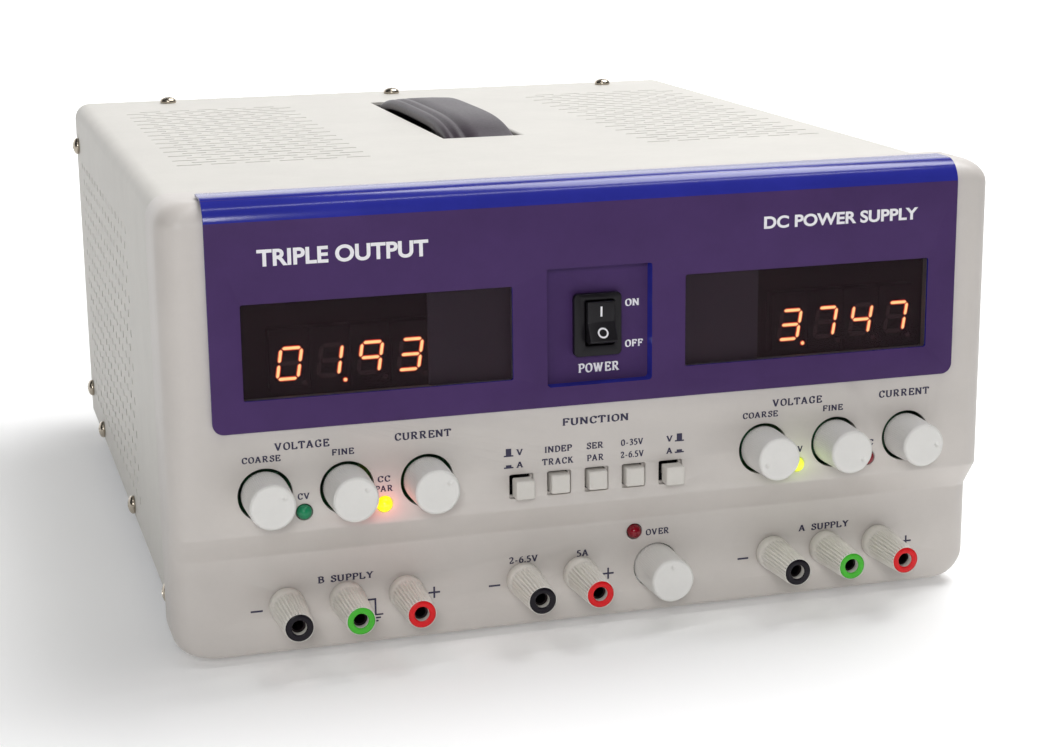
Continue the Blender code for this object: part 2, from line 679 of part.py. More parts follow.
def chassis_tray(look):
    """Floor with side flanges and a front wall that carries the bezel."""
    half = COVER_HALF_WIDTH - COVER_SHEET - GAP
    sheet = TRAY_SHEET
    floor = TRAY_BOTTOM
    top = TRAY_FLANGE_TOP
    outline = [(-half, floor), (half, floor), (half, top), (half - sheet, top), (half - sheet, floor + sheet),
               (sheet - half, floor + sheet), (sheet - half, top), (-half, top)]

    def wall(bm):
        block(bm, (-half, COVER_FRONT, floor + sheet / 2), (half, COVER_FRONT + sheet, TRAY_WALL_TOP))

    def holes(bm):
        hole = SCREW_SHANK_RADIUS + GAP
        for side in (-1, 1):
            ends = sorted((side * (half - 0.006), side * (half + 0.002)))
            for depth in SIDE_SCREW_DEPTHS:
                turned(bm, [(hole, ends[0]), (hole, ends[1])], 12, "X", (depth, SIDE_SCREW_Z))
        for x in (-0.07, 0.07):
            block(bm, (x - 0.03, COVER_FRONT - 0.002, 0.030), (x + 0.03, COVER_FRONT + 0.004, 0.056))

    made = part("chassis_tray", lambda bm: prism(bm, outline, "Y", COVER_FRONT, TRAY_BACK), at(0, 0, 0), look)
    add(made, "tray_wall", wall, at(0, 0, 0))
    cut(made, "tray_holes", holes, at(0, 0, 0))


def rear_panel(look):
    """Panel folded forwards along its two sides and its top, with a floor tab under the tray's end."""
    half = COVER_HALF_WIDTH - COVER_SHEET - GAP
    top = COVER_TOP - COVER_SHEET - GAP
    sheet = TRAY_SHEET
    low, back = TRAY_BOTTOM, REAR_PANEL_DEPTH + sheet
    corner = COVER_BEND - COVER_SHEET
    outline = rounded(-half, half, low, top, (0, 0, corner, corner))

    def hollow(bm):
        inner = rounded(-half + sheet, half - sheet, low + sheet, top - sheet, (0, 0, 0.001, 0.001))
        prism(bm, inner, "Y", REAR_PANEL_DEPTH - REAR_FLANGE - 0.002, REAR_PANEL_DEPTH)

    def holes(bm):
        hole = SCREW_SHANK_RADIUS + GAP
        for x in TOP_SCREW_X:
            turned(bm, [(hole, top - 0.006), (hole, top + 0.002)], 12, "Z", (x, REAR_SCREW_DEPTH))
        for side in (-1, 1):
            ends = sorted((side * (half - 0.006), side * (half + 0.002)))
            for z in REAR_SCREW_Z:
                turned(bm, [(hole, ends[0]), (hole, ends[1])], 12, "X", (REAR_SCREW_DEPTH, z))
        block(bm, (INLET_X - 0.0142, REAR_PANEL_DEPTH - 0.002, INLET_Z - 0.0107),
              (INLET_X + 0.0142, back + 0.002, INLET_Z + 0.0107))

    made = part("rear_panel", lambda bm: prism(bm, outline, "Y", REAR_PANEL_DEPTH - REAR_FLANGE, back),
                at(0, 0, 0), look)
    cut(made, "rear_hollow", hollow, at(0, 0, 0))
    cut(made, "rear_holes", holes, at(0, 0, 0))


def feet(look):
    """Four tapered rubber feet under the tray."""
    top = TRAY_BOTTOM - GAP
    profile = [(FOOT_RADIUS - 0.0016, 0.0), (FOOT_RADIUS - 0.0008, 0.0008), (FOOT_RADIUS, top)]
    words = {(-1, 0): "front_left", (1, 0): "front_right", (-1, 1): "rear_left", (1, 1): "rear_right"}
    for (side, end), word in words.items():
        place = at(side * FOOT_X, FOOT_DEPTHS[end], 0)
        part("foot_" + word, lambda bm: turned(bm, profile, 24, "Z"), place, look, True)


# ---------------------------------------------------------------- screws

def screw_profile(direction, seat):
    """Domed head on a shank; direction is the way the head points along its axis."""
    head, height = SCREW_HEAD_RADIUS, SCREW_HEAD_HEIGHT
    dome = [(head * cos(a), seat + direction * (0.0006 + (height - 0.0006) * sin(a)))
            for a in (0.40 * pi, 0.2 * pi, 0.0)]
    return dome + [(head, seat), (SCREW_SHANK_RADIUS, seat), (SCREW_SHANK_RADIUS, seat - direction * 0.0055)]


def cover_screws(look):
    """Each group of cover screws with the nut strip that it screws into."""
    seat = COVER_TOP + GAP
    strip = COVER_TOP - COVER_SHEET - TRAY_SHEET - 3 * GAP

    def top_strip(bm):
        block(bm, (-0.104, REAR_SCREW_DEPTH - 0.004, strip - 0.002), (0.104, REAR_SCREW_DEPTH + 0.004, strip))

    group = part("top_cover_screws", top_strip, at(0, 0, 0), look, True)
    for i, x in enumerate(TOP_SCREW_X):
        add(group, f"top_screw_{i + 1}",
            lambda bm: turned(bm, screw_profile(1, seat), 10, "Z", (x, REAR_SCREW_DEPTH)), at(0, 0, 0))

    for side, word in ((-1, "left"), (1, "right")):
        seat_x = side * (COVER_HALF_WIDTH + GAP)
        strip_x = side * (COVER_HALF_WIDTH - COVER_SHEET - TRAY_SHEET - 3 * GAP)
        xs = sorted((strip_x, strip_x - side * 0.002))

        def side_strip(bm):
            low = SIDE_SCREW_Z - 0.0035
            outline = [(0.034, low), (REAR_SCREW_DEPTH + 0.004, low), (REAR_SCREW_DEPTH + 0.004, 0.132),
                       (REAR_SCREW_DEPTH - 0.004, 0.132), (REAR_SCREW_DEPTH - 0.004, low + 0.007),
                       (0.034, low + 0.007)]
            prism(bm, outline, "X", xs[0], xs[1])

        group = part(word + "_cover_screws", side_strip, at(0, 0, 0), look, True)
        for i, (depth, z) in enumerate(side_screw_places()):
            profile = screw_profile(side, seat_x)
            add(group, f"{word}_screw_{i + 1}",
                lambda bm: turned(bm, profile, 10, "X", (depth, z)), at(0, 0, 0))


# ---------------------------------------------------------------- carrying strap

def strap_section():
    """Lengthwise outline of the bowed strap with a thick keeper at each end."""
    half_length = (SLOT_BACK - SLOT_FRONT) / 2 + STRAP_OVERHANG
    middle = (SLOT_BACK + SLOT_FRONT) / 2
    crown = COVER_TOP + STRAP_RISE
    steps = 20
    places = [-1 + 2 * i / steps for i in range(steps + 1)]
    drop = STRAP_RISE + STRAP_END_DROP
    top = [(middle + half_length * t, crown - drop * t**4) for t in places]
    under = [(middle + half_length * t, crown - STRAP_THICK - drop * t**4) for t in reversed(places)]
    return top + under


def carrying_strap(strap_look, bracket_look):
    def band(bm):
        prism(bm, strap_section(), "X", -STRAP_HALF_WIDTH, STRAP_HALF_WIDTH)

    made = part("carrying_strap", band, at(SLOT_X, 0, 0), strap_look, True)
    middle = (SLOT_BACK + SLOT_FRONT) / 2
    half_length = (SLOT_BACK - SLOT_FRONT) / 2 + STRAP_OVERHANG
    end_top = COVER_TOP - STRAP_END_DROP
    for end, word in ((-1, "front"), (1, "rear")):
        tip = middle + end * half_length
        keeper = sorted((tip, tip - end * 0.003))

        def keeper_block(bm):
            block(bm, (-STRAP_HALF_WIDTH, keeper[0], end_top - KEEPER_DEPTH),
                  (STRAP_HALF_WIDTH, keeper[1], end_top - 0.0010))
        add(made, "strap_keeper_" + word, keeper_block, at(SLOT_X, 0, 0))
        carrying_bracket(word, tip, end, end_top, bracket_look)


def carrying_bracket(word, tip, end, end_top, look):
    """Channel under the cover that holds the strap's keeper."""
    roof = COVER_TOP - COVER_SHEET - GAP
    floor = end_top - KEEPER_DEPTH - GAP
    half = STRAP_HALF_WIDTH + 0.0030
    sheet = 0.0015
    ends = sorted((tip - end * 0.0035, tip + end * 0.0105))

    def channel(bm):
        outer, lip = half + sheet, half + 0.006
        outline = [(-half, roof), (-lip, roof), (-lip, roof - sheet), (-outer, roof - sheet),
                   (-outer, floor - sheet), (outer, floor - sheet), (outer, roof - sheet),
                   (lip, roof - sheet), (lip, roof), (half, roof), (half, floor), (-half, floor)]
        prism(bm, outline, "Y", ends[0], ends[1])
    part("strap_bracket_" + word, channel, at(SLOT_X, 0, 0), look)


# ---------------------------------------------------------------- inside and rear

def transformer(look):
    """Laminated core on a foot plate, with the winding bulging at the front and the back."""
    floor = TRAY_BOTTOM + TRAY_SHEET + GAP
    middle = TRANSFORMER_DEPTH

    def core(bm):
        block(bm, (-0.050, middle - 0.026, floor), (0.050, middle + 0.026, floor + 0.088))

    def winding(bm):
        outline = rounded(-0.032, 0.032, floor + 0.017, floor + 0.071, (0.008,) * 4)
        prism(bm, outline, "Y", middle - 0.044, middle + 0.044)

    def foot_plate(bm):
        block(bm, (-0.064, middle - 0.022, floor), (0.064, middle + 0.022, floor + 0.003))

    made = part("transformer", core, at(0, 0, 0), look)
    add(made, "winding", winding, at(0, 0, 0))
    add(made, "foot_plate", foot_plate, at(0, 0, 0))


def main_board(look):
    """Regulator board in front of the transformer, with its reservoir capacitors and pillars."""
    floor = TRAY_BOTTOM + TRAY_SHEET + GAP
    board = floor + 0.008

    def plate(bm):
        block(bm, (-0.118, 0.036, board), (0.118, 0.150, board + BOARD_THICK))

    def capacitors(bm):
        for x, depth in ((-0.095, 0.060), (-0.060, 0.060), (0.060, 0.060), (0.095, 0.060)):
            turned(bm, [(0.015, board + 0.001), (0.015, board + 0.042)], 20, "Z", (x, depth))
        for x in (-0.085, 0.0, 0.085):
            block(bm, (x - 0.014, 0.100, board + 0.001), (x + 0.014, 0.116, board + 0.020))

    def pillars(bm):
        for x in (-0.110, 0.110):
            for depth in (0.042, 0.144):
                turned(bm, [(0.003, floor), (0.003, board + 0.001)], 10, "Z", (x, depth))

    made = part("main_board", plate, at(0, 0, 0), look)
    add(made, "capacitors", capacitors, at(0, 0, 0))
    add(made, "pillars", pillars, at(0, 0, 0))


def rear_heat_sink(look):
    """Finned aluminium extrusion, fins upright, on the outside of the rear panel."""
    start = REAR_PANEL_DEPTH + TRAY_SHEET + GAP
    fin = 0.0022
    pitch = (2 * SINK_HALF_WIDTH - fin) / (SINK_FINS - 1)
    outline = [(-SINK_HALF_WIDTH, start), (SINK_HALF_WIDTH, start)]
    for i in reversed(range(SINK_FINS)):
        left = -SINK_HALF_WIDTH + i * pitch
        outline += [(left + fin, start + SINK_DEPTH), (left, start + SINK_DEPTH)]
        if i:
            outline += [(left, start + SINK_BASE), (left - pitch + fin, start + SINK_BASE)]
    part("rear_heat_sink", lambda bm: prism(bm, outline, "Z", SINK_BOTTOM, SINK_TOP), at(0, 0, 0), look)


def mains_inlet(look):
    """Three-pin appliance inlet: flange, body, socket and pins."""
    outside = REAR_PANEL_DEPTH + TRAY_SHEET + GAP
    half_x, half_z = 0.0139, 0.0104

    def flange(bm):
        block(bm, (INLET_X - 0.024, outside, INLET_Z - 0.012),
              (INLET_X + 0.024, outside + 0.0025, INLET_Z + 0.012))

    def body(bm):
        block(bm, (INLET_X - half_x, outside - 0.018, INLET_Z - half_z),
              (INLET_X + half_x, outside + 0.001, INLET_Z + half_z))

    def socket(bm):
        half, low, high, chamfer = 0.0120, INLET_Z - 0.0078, INLET_Z + 0.0078, 0.0045
        outline = [(INLET_X - half, low), (INLET_X + half, low), (INLET_X + half, high - chamfer),
                   (INLET_X + half - chamfer, high), (INLET_X - half + chamfer, high),
                   (INLET_X - half, high - chamfer)]
        prism(bm, outline, "Y", outside - 0.0160, outside + 0.004)

    def pins(bm):
        for x, z in ((-0.007, -0.002), (0.0, 0.002), (0.007, -0.002)):
            block(bm, (INLET_X + x - 0.001, outside - 0.017, INLET_Z + z - 0.002),
                  (INLET_X + x + 0.001, outside - 0.0050, INLET_Z + z + 0.002))

    made = part("mains_inlet", flange, at(0, 0, 0), look)
    add(made, "inlet_body", body, at(0, 0, 0))
    cut(made, "inlet_socket", socket, at(0, 0, 0))
    add(made, "inlet_pins", pins, at(0, 0, 0))


def build():
    for old in list(bpy.data.objects):
        bpy.data.objects.remove(old, do_unlink=True)
    grey = material("bezel_grey", (0.57, 0.54, 0.50), 0.45)
    cover = material("cover_enamel", (0.62, 0.60, 0.55), 0.5)
    blue = material("fascia_blue", (0.06, 0.05, 0.30), 0.35)
    zinc = material("zinc_steel", (0.60, 0.60, 0.62), 0.35, 1.0)
    white = material("knob_white", (0.80, 0.79, 0.76), 0.45)
    black = material("black_plastic", (0.02, 0.02, 0.02), 0.4)
    red_lamp = material("lamp_red", (0.30, 0.01, 0.02), 0.2)
    front_bezel(grey)
    blue_fascia(blue)
    tint = material("tinted_window", (0.03, 0.01, 0.02), 0.1)
    digits = material("digit_module", (0.06, 0.03, 0.04), 0.5)
    for side, word in ((-1, "left"), (1, "right")):
        display(side, word, tint, digits)
    power_switch(black, black)
    knobs(white)
    lamps({
        "lamp_left_constant_voltage": material("lamp_green", (0.0, 0.16, 0.05), 0.2),
        "lamp_left_constant_current": material("lamp_yellow", (0.9, 0.7, 0.02), 0.2, glow=(1.0, 0.75, 0.05)),
        "lamp_right_constant_voltage": material("lamp_lime", (0.7, 0.9, 0.05), 0.2, glow=(0.7, 1.0, 0.1)),
        "lamp_right_constant_current": red_lamp,
        "lamp_overload": red_lamp,
    })
    button_caps(material("button_grey", (0.66, 0.63, 0.60), 0.5))
    button_switch_bank(black)
    control_board(material("control_board", (0.02, 0.14, 0.06), 0.5))
    binding_posts(material("post_ivory", (0.72, 0.69, 0.62), 0.45),
                  material("post_nickel", (0.7, 0.7, 0.7), 0.25, 1.0))
    top_cover(cover)
    chassis_tray(zinc)
    rear_panel(cover)
    feet(material("foot_rubber", (0.02, 0.02, 0.02), 0.85))
    cover_screws(material("screw_nickel", (0.7, 0.68, 0.66), 0.25, 1.0))
    carrying_strap(material("strap_black", (0.03, 0.02, 0.03), 0.45), zinc)
    transformer(material("transformer_core", (0.10, 0.09, 0.09), 0.5, 0.6))
    main_board(material("main_board", (0.03, 0.16, 0.07), 0.5))
    rear_heat_sink(material("anodised_black", (0.03, 0.03, 0.03), 0.45, 0.8))
    mains_inlet(black)


build()
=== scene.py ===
"""Looks of the bench power supply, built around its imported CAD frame.

Meshes are made in panel millimetres: x to the right, depth backwards from the upper front face,
z up from the surface the feet stand on. settle() turns them into the frame's metres.
"""

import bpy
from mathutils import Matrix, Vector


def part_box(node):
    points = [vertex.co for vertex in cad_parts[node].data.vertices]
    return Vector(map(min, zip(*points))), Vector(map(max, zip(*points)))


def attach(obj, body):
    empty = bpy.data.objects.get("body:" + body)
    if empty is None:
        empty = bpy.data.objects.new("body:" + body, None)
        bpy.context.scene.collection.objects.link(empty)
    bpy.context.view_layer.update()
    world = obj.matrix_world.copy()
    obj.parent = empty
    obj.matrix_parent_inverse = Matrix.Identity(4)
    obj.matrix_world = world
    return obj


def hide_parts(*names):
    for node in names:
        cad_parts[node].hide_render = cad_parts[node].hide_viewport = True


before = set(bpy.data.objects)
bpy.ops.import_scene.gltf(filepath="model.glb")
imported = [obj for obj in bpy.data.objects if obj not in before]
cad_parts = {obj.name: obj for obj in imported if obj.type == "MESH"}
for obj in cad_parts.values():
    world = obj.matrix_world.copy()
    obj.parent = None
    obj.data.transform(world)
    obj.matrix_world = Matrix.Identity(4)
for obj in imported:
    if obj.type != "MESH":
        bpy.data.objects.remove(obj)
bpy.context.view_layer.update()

from math import atan2, cos, pi, radians, sin

import bmesh
import bpy
from mathutils import Matrix, Vector
from mathutils.geometry import delaunay_2d_cdt

MM = 0.001
FACE_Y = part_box("front_bezel")[0].y


def corners(node):
    """A CAD node's lowest and highest corners in panel millimetres."""
    return [Vector((c.x / MM, (c.y - FACE_Y) / MM, c.z / MM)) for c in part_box(node)]


def middle(node):
    low, high = corners(node)
    return (low + high) / 2


# ---------------------------------------------------------------- sizes, in millimetres

BEZEL_LOW, BEZEL_HIGH = corners("front_bezel")
BEZEL_HALF = BEZEL_HIGH.x
BEZEL_EDGE = 7.5
BEZEL_BOTTOM_CORNER = 9.0
BEZEL_TOP_CORNER = 7.5
BEZEL_FOOT_EDGE = 1.6
BEZEL_WALL = 3.0
LOWER_FACE = 7.0
LOWER_FACE_TOP = 35.3
UPPER_FACE_BOTTOM = 44.4
CREASE = 1.2  # height over which each crease of the sloping band is rounded

FASCIA_LOW, FASCIA_HIGH = corners("blue_fascia")
FASCIA_HALF = FASCIA_HIGH.x
FASCIA_THICK = 1.0
FASCIA_BEND = 7.6
FASCIA_CORNER = 3.5
WINDOW_INNER, WINDOW_OUTER = 28.3, 112.2
WINDOW_LOW, WINDOW_HIGH = 86.9, 116.4
DIGIT_INNER = 54.3
WELL_HALF = 17.2
WELL_LOW, WELL_HIGH = 83.5, 121.0
WELL_FLOOR = 3.2

SWITCH_HALF = 7.8
SWITCH_LOW, SWITCH_HIGH = 92.0, 112.0
SWITCH_FRONT = 0.7
ROCKER_Z = 102.6
ROCKER_HALF = 4.5
ROCKER_X = 0.6
ROCKER_PIVOT = SWITCH_FRONT + 0.5
ROCKER_TILT = radians(-14)

KNOB_RADIUS = 7.4
KNOB_FACE_RADIUS = 7.1
KNOB_HOLE = 8.5
LAMP_RADIUS = 2.45
BUTTON_HALF = 3.05
BUTTON_RECESS = 4.0
BUTTON_RECESS_DEPTH = 1.8
POST_RADIUS = 5.6
POST_FACE_RADIUS = 4.6
POST_HOLE = 2.3
POST_STUD = 2.6

COVER_LOW, COVER_HIGH = corners("top_cover")
COVER_HALF = COVER_HIGH.x
COVER_BEND = 6.0
COVER_SHEET = 1.2
SLOT_X = 1.8
SLOT_HALF = 14.6
SLOT_FRONT, SLOT_BACK = 138.0, 261.8
SLOT_LIP = 8.0

SIDES = {"left": -1, "right": 1}
GAP = 0.3  # clearance between neighbouring pieces


def across(side, inner, outer):
    """A span on one side of the middle, its lower end first."""
    return sorted((side * inner, side * outer))


def full_turn(count):
    """Angles of a whole turn in equal steps."""
    return [2 * pi * i / count for i in range(count)]


def quarter(steps, first=0):
    """Angles of a quarter turn from step first to its end."""
    return [0.5 * pi * i / steps for i in range(first, steps + 1)]


# ---------------------------------------------------------------- mesh helpers

def loft(bm, rings, caps=True, closed=True):
    """Faces through rings of equal point counts."""
    rows = [[bm.verts.new(point) for point in ring] for ring in rings]
    count = len(rows[0])
    for lower, upper in zip(rows, rows[1:]):
        for i in range(count if closed else count - 1):
            j = (i + 1) % count
            bm.faces.new((lower[i], lower[j], upper[j], upper[i]))
    if caps:
        bm.faces.new(rows[0][::-1])
        bm.faces.new(rows[-1])


def block(bm, low, high):
    """Straight-sided cutter between two corners."""
    (x0, y0, z0), (x1, y1, z1) = low, high
    loft(bm, [[(x0, y0, z), (x1, y0, z), (x1, y1, z), (x0, y1, z)] for z in (z0, z1)])


def prism(bm, outline, axis, start, end):
    """Outline extruded along X, Y or Z; its points are the two other coordinates in order."""
    def placed(a, b, c):
        return {"X": (c, a, b), "Y": (a, c, b), "Z": (a, b, c)}[axis]
    loft(bm, [[placed(a, b, c) for a, b in outline] for c in (start, end)])


def ring_points(radius, along, segments, axis="Y", centre=(0, 0), swell=None):
    """Circle round an axis; swell(angle) scales the radius."""
    points = []
    for angle in full_turn(segments):
        r = radius * (swell(angle) if swell else 1)
        a, b = centre[0] + r * cos(angle), centre[1] + r * sin(angle)
        points.append({"Y": (a, along, b), "X": (along, a, b), "Z": (a, b, along)}[axis])
    return points


def turned(bm, profile, segments=32, axis="Y", centre=(0, 0), caps=True):
    """Profile of (radius, place along the axis) turned round the axis."""
    loft(bm, [ring_points(radius, along, segments, axis, centre) for radius, along in profile], caps)


def tube(bm, rings):
    """Closed skin whose last ring joins its first, open along its axis."""
    loft(bm, rings + [rings[0]], caps=False)
    bmesh.ops.remove_doubles(bm, verts=bm.verts, dist=1e-4)


def arc(centre_a, centre_b, radius, first, last, steps=6):
    """Points on an arc, angles in degrees."""
    angles = [radians(first + (last - first) * i / steps) for i in range(steps + 1)]
    return [(centre_a + radius * cos(a), centre_b + radius * sin(a)) for a in angles]


def rounded(x0, x1, z0, z1, radius, steps=6):
    """Rectangle outline with rounded corners, anticlockwise; radius may be one number or four."""
    radii = radius if isinstance(radius, (list, tuple)) else (radius,) * 4
    places = ((x0, z0, 1, 1, 180), (x1, z0, -1, 1, 270), (x1, z1, -1, -1, 0), (x0, z1, 1, -1, 90))
    outline = []
    for (x, z, sx, sz, first), r in zip(places, radii):
        if r:
            outline += arc(x + sx * r, z + sz * r, r, first, first + 90, steps)
        else:
            outline.append((x, z))
    return outline


def rounded_square(centre, half, radius, steps):
    return rounded(centre.x - half, centre.x + half, centre.z - half, centre.z + half, radius, steps)


def smooth_line(points, steps=6, closed=False):
    """Catmull-Rom curve through flat points."""
    count = len(points)
    found = []
    for i in range(count if closed else count - 1):
        def point(j):
            return Vector(points[j % count] if closed else points[min(max(j, 0), count - 1)])
        a, b, c, d = (point(i + k) for k in (-1, 0, 1, 2))
        for s in range(steps):
            t = s / steps
            found.append(0.5 * (2 * b + (c - a) * t + (2 * a - 5 * b + 4 * c - d) * t * t
                                + (3 * b - a - 3 * c + d) * t ** 3))
    if not closed:
        found.append(Vector(points[-1]))
    return [tuple(p) for p in found]


def region(solid, holes=(), lines=()):
    """Triangles covered by any polygon of solid and by none of holes: flat points and index triples."""
    points, faces = [], []
    for polygon in list(solid) + list(holes):
        faces.append(list(range(len(points), len(points) + len(polygon))))
        points += polygon
    edges = []
    for a, b in lines:
        edges.append((len(points), len(points) + 1))
        points += [a, b]
    flat, _, triangles, _, _, owners = delaunay_2d_cdt([Vector(p) for p in points], edges, faces, 1, 1e-5)
    limit = len(solid)
    return [tuple(p) for p in flat], [t for t, own in zip(triangles, owners) if own and max(own) < limit]


def slab(bm, flat, triangles, outer, inner):
    """Closed plate from flat triangles; outer and inner place its two faces."""
    used = sorted({i for t in triangles for i in t})
    front = {i: bm.verts.new(outer(*flat[i])) for i in used}
    back = {i: bm.verts.new(inner(*flat[i])) for i in used}
    sides = {}
    for t in triangles:
        bm.faces.new([front[i] for i in t])
        bm.faces.new([back[i] for i in reversed(t)])
        for a, b in zip(t, list(t[1:]) + [t[0]]):
            sides[frozenset((a, b))] = None if frozenset((a, b)) in sides else (a, b)
    for pair in sides.values():
        if pair:
            a, b = pair
            bm.faces.new((front[b], front[a], back[a], back[b]))


def raw_object(name, maker):
    """Object still in panel millimetres."""
    bm = bmesh.new()
    maker(bm)
    bmesh.ops.recalc_face_normals(bm, faces=bm.faces)
    mesh = bpy.data.meshes.new(name)
    bm.to_mesh(mesh)
    bm.free()
    made = bpy.data.objects.new(name, mesh)
    bpy.context.scene.collection.objects.link(made)
    return made


def apply_modifiers(obj):
    bpy.context.view_layer.update()
    evaluated = obj.evaluated_get(bpy.context.evaluated_depsgraph_get())
    mesh = bpy.data.meshes.new_from_object(evaluated)
    obj.modifiers.clear()
    obj.data = mesh


def combine(obj, maker, operation="DIFFERENCE"):
    """Cuts away, or unites with, the solid that maker makes."""
    other = raw_object("tool", maker)
    modifier = obj.modifiers.new("solid", "BOOLEAN")
    modifier.operation = operation
    modifier.solver = "EXACT"
    modifier.use_self = True
    modifier.object = other
    apply_modifiers(obj)
    bpy.data.objects.remove(other)


def soften(obj, width, segments=2, angle=38):
    """Rounds every sharp edge."""
    modifier = obj.modifiers.new("round", "BEVEL")
    modifier.width = width
    modifier.segments = segments
    modifier.limit_method = "ANGLE"
    modifier.angle_limit = radians(angle)
    modifier.use_clamp_overlap = True
    apply_modifiers(obj)


def settle(obj, look, slot_name, *nodes, body="chassis", sharp=32):
    """Turns panel millimetres into the frame's metres and hands the piece to its body."""
    obj.data.transform(Matrix.Translation((0, FACE_Y, 0)) @ Matrix.Scale(MM, 4))
    obj.data.shade_smooth()
    obj.data.set_sharp_from_angle(angle=radians(sharp))
    obj.data.materials.clear()
    obj.data.materials.append(LOOKS[look])
    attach(obj, body)
    if nodes:
        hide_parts(*nodes)


def piece(name, maker, look, slot_name, *nodes, body="chassis", bevel=0, sharp=32):
    """A finished piece straight from a mesh maker."""
    obj = raw_object(name, maker)
    if bevel:
        soften(obj, bevel)
    settle(obj, look, slot_name, *nodes, body=body, sharp=sharp)


# ---------------------------------------------------------------- materials

def shader_of(material):
    return material.node_tree.nodes["Principled BSDF"]


def new_material(name, roughness=0.5, metallic=0.0, specular=0.5, coat=0.0, coat_roughness=0.1):
    material = bpy.data.materials.new(name)
    material.use_nodes = True
    shader = shader_of(material)
    shader.inputs["Roughness"].default_value = roughness
    shader.inputs["Metallic"].default_value = metallic
    shader.inputs["Specular IOR Level"].default_value = specular
    shader.inputs["Coat Weight"].default_value = coat
    shader.inputs["Coat Roughness"].default_value = coat_roughness
    return material


def node(material, kind, **values):
    made = material.node_tree.nodes.new(kind)
    for key, value in values.items():
        if hasattr(made, key):
            setattr(made, key, value)
        else:
            made.inputs[key.replace("_", " ")].default_value = value
    return made


def link(material, source, target):
    material.node_tree.links.new(source, target)


def noise(material, scale, detail=3.0, roughness=0.6, stretch=(1, 1, 1)):
    """Noise in the piece's own metres; scale is cycles per metre."""
    place = node(material, "ShaderNodeTexCoord")
    mapping = node(material, "ShaderNodeMapping")
    mapping.inputs["Scale"].default_value = stretch
    made = node(material, "ShaderNodeTexNoise", Scale=scale, Detail=detail, Roughness=roughness)
    link(material, place.outputs["Object"], mapping.inputs["Vector"])
    link(material, mapping.outputs["Vector"], made.inputs["Vector"])
    return made.outputs["Fac"]


def ramp(material, source, stops):
    """Colour ramp; stops are (place, colour)."""
    made = node(material, "ShaderNodeValToRGB")
    elements = made.color_ramp.elements
    while len(elements) < len(stops):
        elements.new(0.5)
    for element, (place, colour) in zip(elements, stops):
        element.position = place
        element.color = (*colour, 1)
    link(material, source, made.inputs["Fac"])
    return made.outputs["Color"]


def drive(material, socket, source):
    """Feeds one of the shader's sockets."""
    link(material, source, shader_of(material).inputs[socket])


def drift_between(material, source, dark, light):
    return ramp(material, source, [(0.3, dark), (0.7, light)])


def bump(material, source, strength, distance):
    made = node(material, "ShaderNodeBump", Strength=strength, Distance=distance)
    link(material, source, made.inputs["Height"])
    drive(material, "Normal", made.outputs["Normal"])


def spread(colour, amount):
    """The colour a little darker and a little lighter."""
    return [tuple(min(1, max(0, c * (1 + s * amount))) for c in colour) for s in (-1, 1)]


def plain_look(name, colour, roughness, variation=0.05, scale=60, grain=900, grain_depth=0.00006,
               grain_strength=0.35, rough_variation=0.06, **values):
    """Moulded or painted surface: slow colour drift, fine grain in relief and in gloss."""
    material = new_material(name, roughness, **values)
    dark, light = spread(colour, variation)
    drift = noise(material, scale, 9, 0.72)
    drive(material, "Base Color", drift_between(material, drift, dark, light))
    fine = noise(material, grain, 2)
    gloss = node(material, "ShaderNodeMapRange")
    gloss.inputs["To Min"].default_value = max(0.02, roughness - rough_variation)
    gloss.inputs["To Max"].default_value = min(1.0, roughness + rough_variation)
    link(material, fine, gloss.inputs["Value"])
    drive(material, "Roughness", gloss.outputs["Result"])
    bump(material, fine, grain_strength, grain_depth)
    return material


def brushed_look(name, colour, roughness, stretch):
    """Metal with fine parallel streaks."""
    material = new_material(name, roughness, 1.0)
    dark, light = spread(colour, 0.10)
    streaks = noise(material, 160, 4, 0.7, stretch)
    drive(material, "Base Color", drift_between(material, streaks, dark, light))
    bump(material, streaks, 0.15, 0.00004)
    return material


def zinc_look():
    """Zinc-plated sheet with its large soft spangle."""
    material = new_material("zinc_sheet", 0.38, 1.0)
    place = node(material, "ShaderNodeTexCoord")
    cells = node(material, "ShaderNodeTexVoronoi", Scale=70.0)
    link(material, place.outputs["Object"], cells.inputs["Vector"])
    tone = ramp(material, cells.outputs["Distance"], [(0.0, (0.62, 0.62, 0.64)), (0.9, (0.46, 0.47, 0.50))])
    drive(material, "Base Color", tone)
    bump(material, noise(material, 700, 3), 0.2, 0.00004)
    return material


def glow_look(name, colour, glow, strength, roughness=0.25):
    """Lit plastic: the glow drifts a little across it."""
    material = new_material(name, roughness)
    drift = noise(material, 400, 2)
    drive(material, "Base Color", drift_between(material, drift, *spread(colour, 0.08)))
    drive(material, "Emission Color", drift_between(material, drift, *spread(glow, 0.06)))
    shader_of(material).inputs["Emission Strength"].default_value = strength
    return material


def lens_look(name, colour, rim_shade):
    """Coloured clear resin with painted shade: darker towards the rim, by the angle at which the surface is
    seen.
    """
    material = new_material(name, 0.10, specular=0.4)
    facing = node(material, "ShaderNodeLayerWeight", Blend=0.35)
    # painted shade: the base colour darkens towards the dome's rim as its surface turns away from the view
    drive(material, "Base Color", ramp(material, facing.outputs["Facing"], [(0.0, colour), (1.0, rim_shade)]))
    bump(material, noise(material, 900, 2), 0.06, 0.00003)
    return material


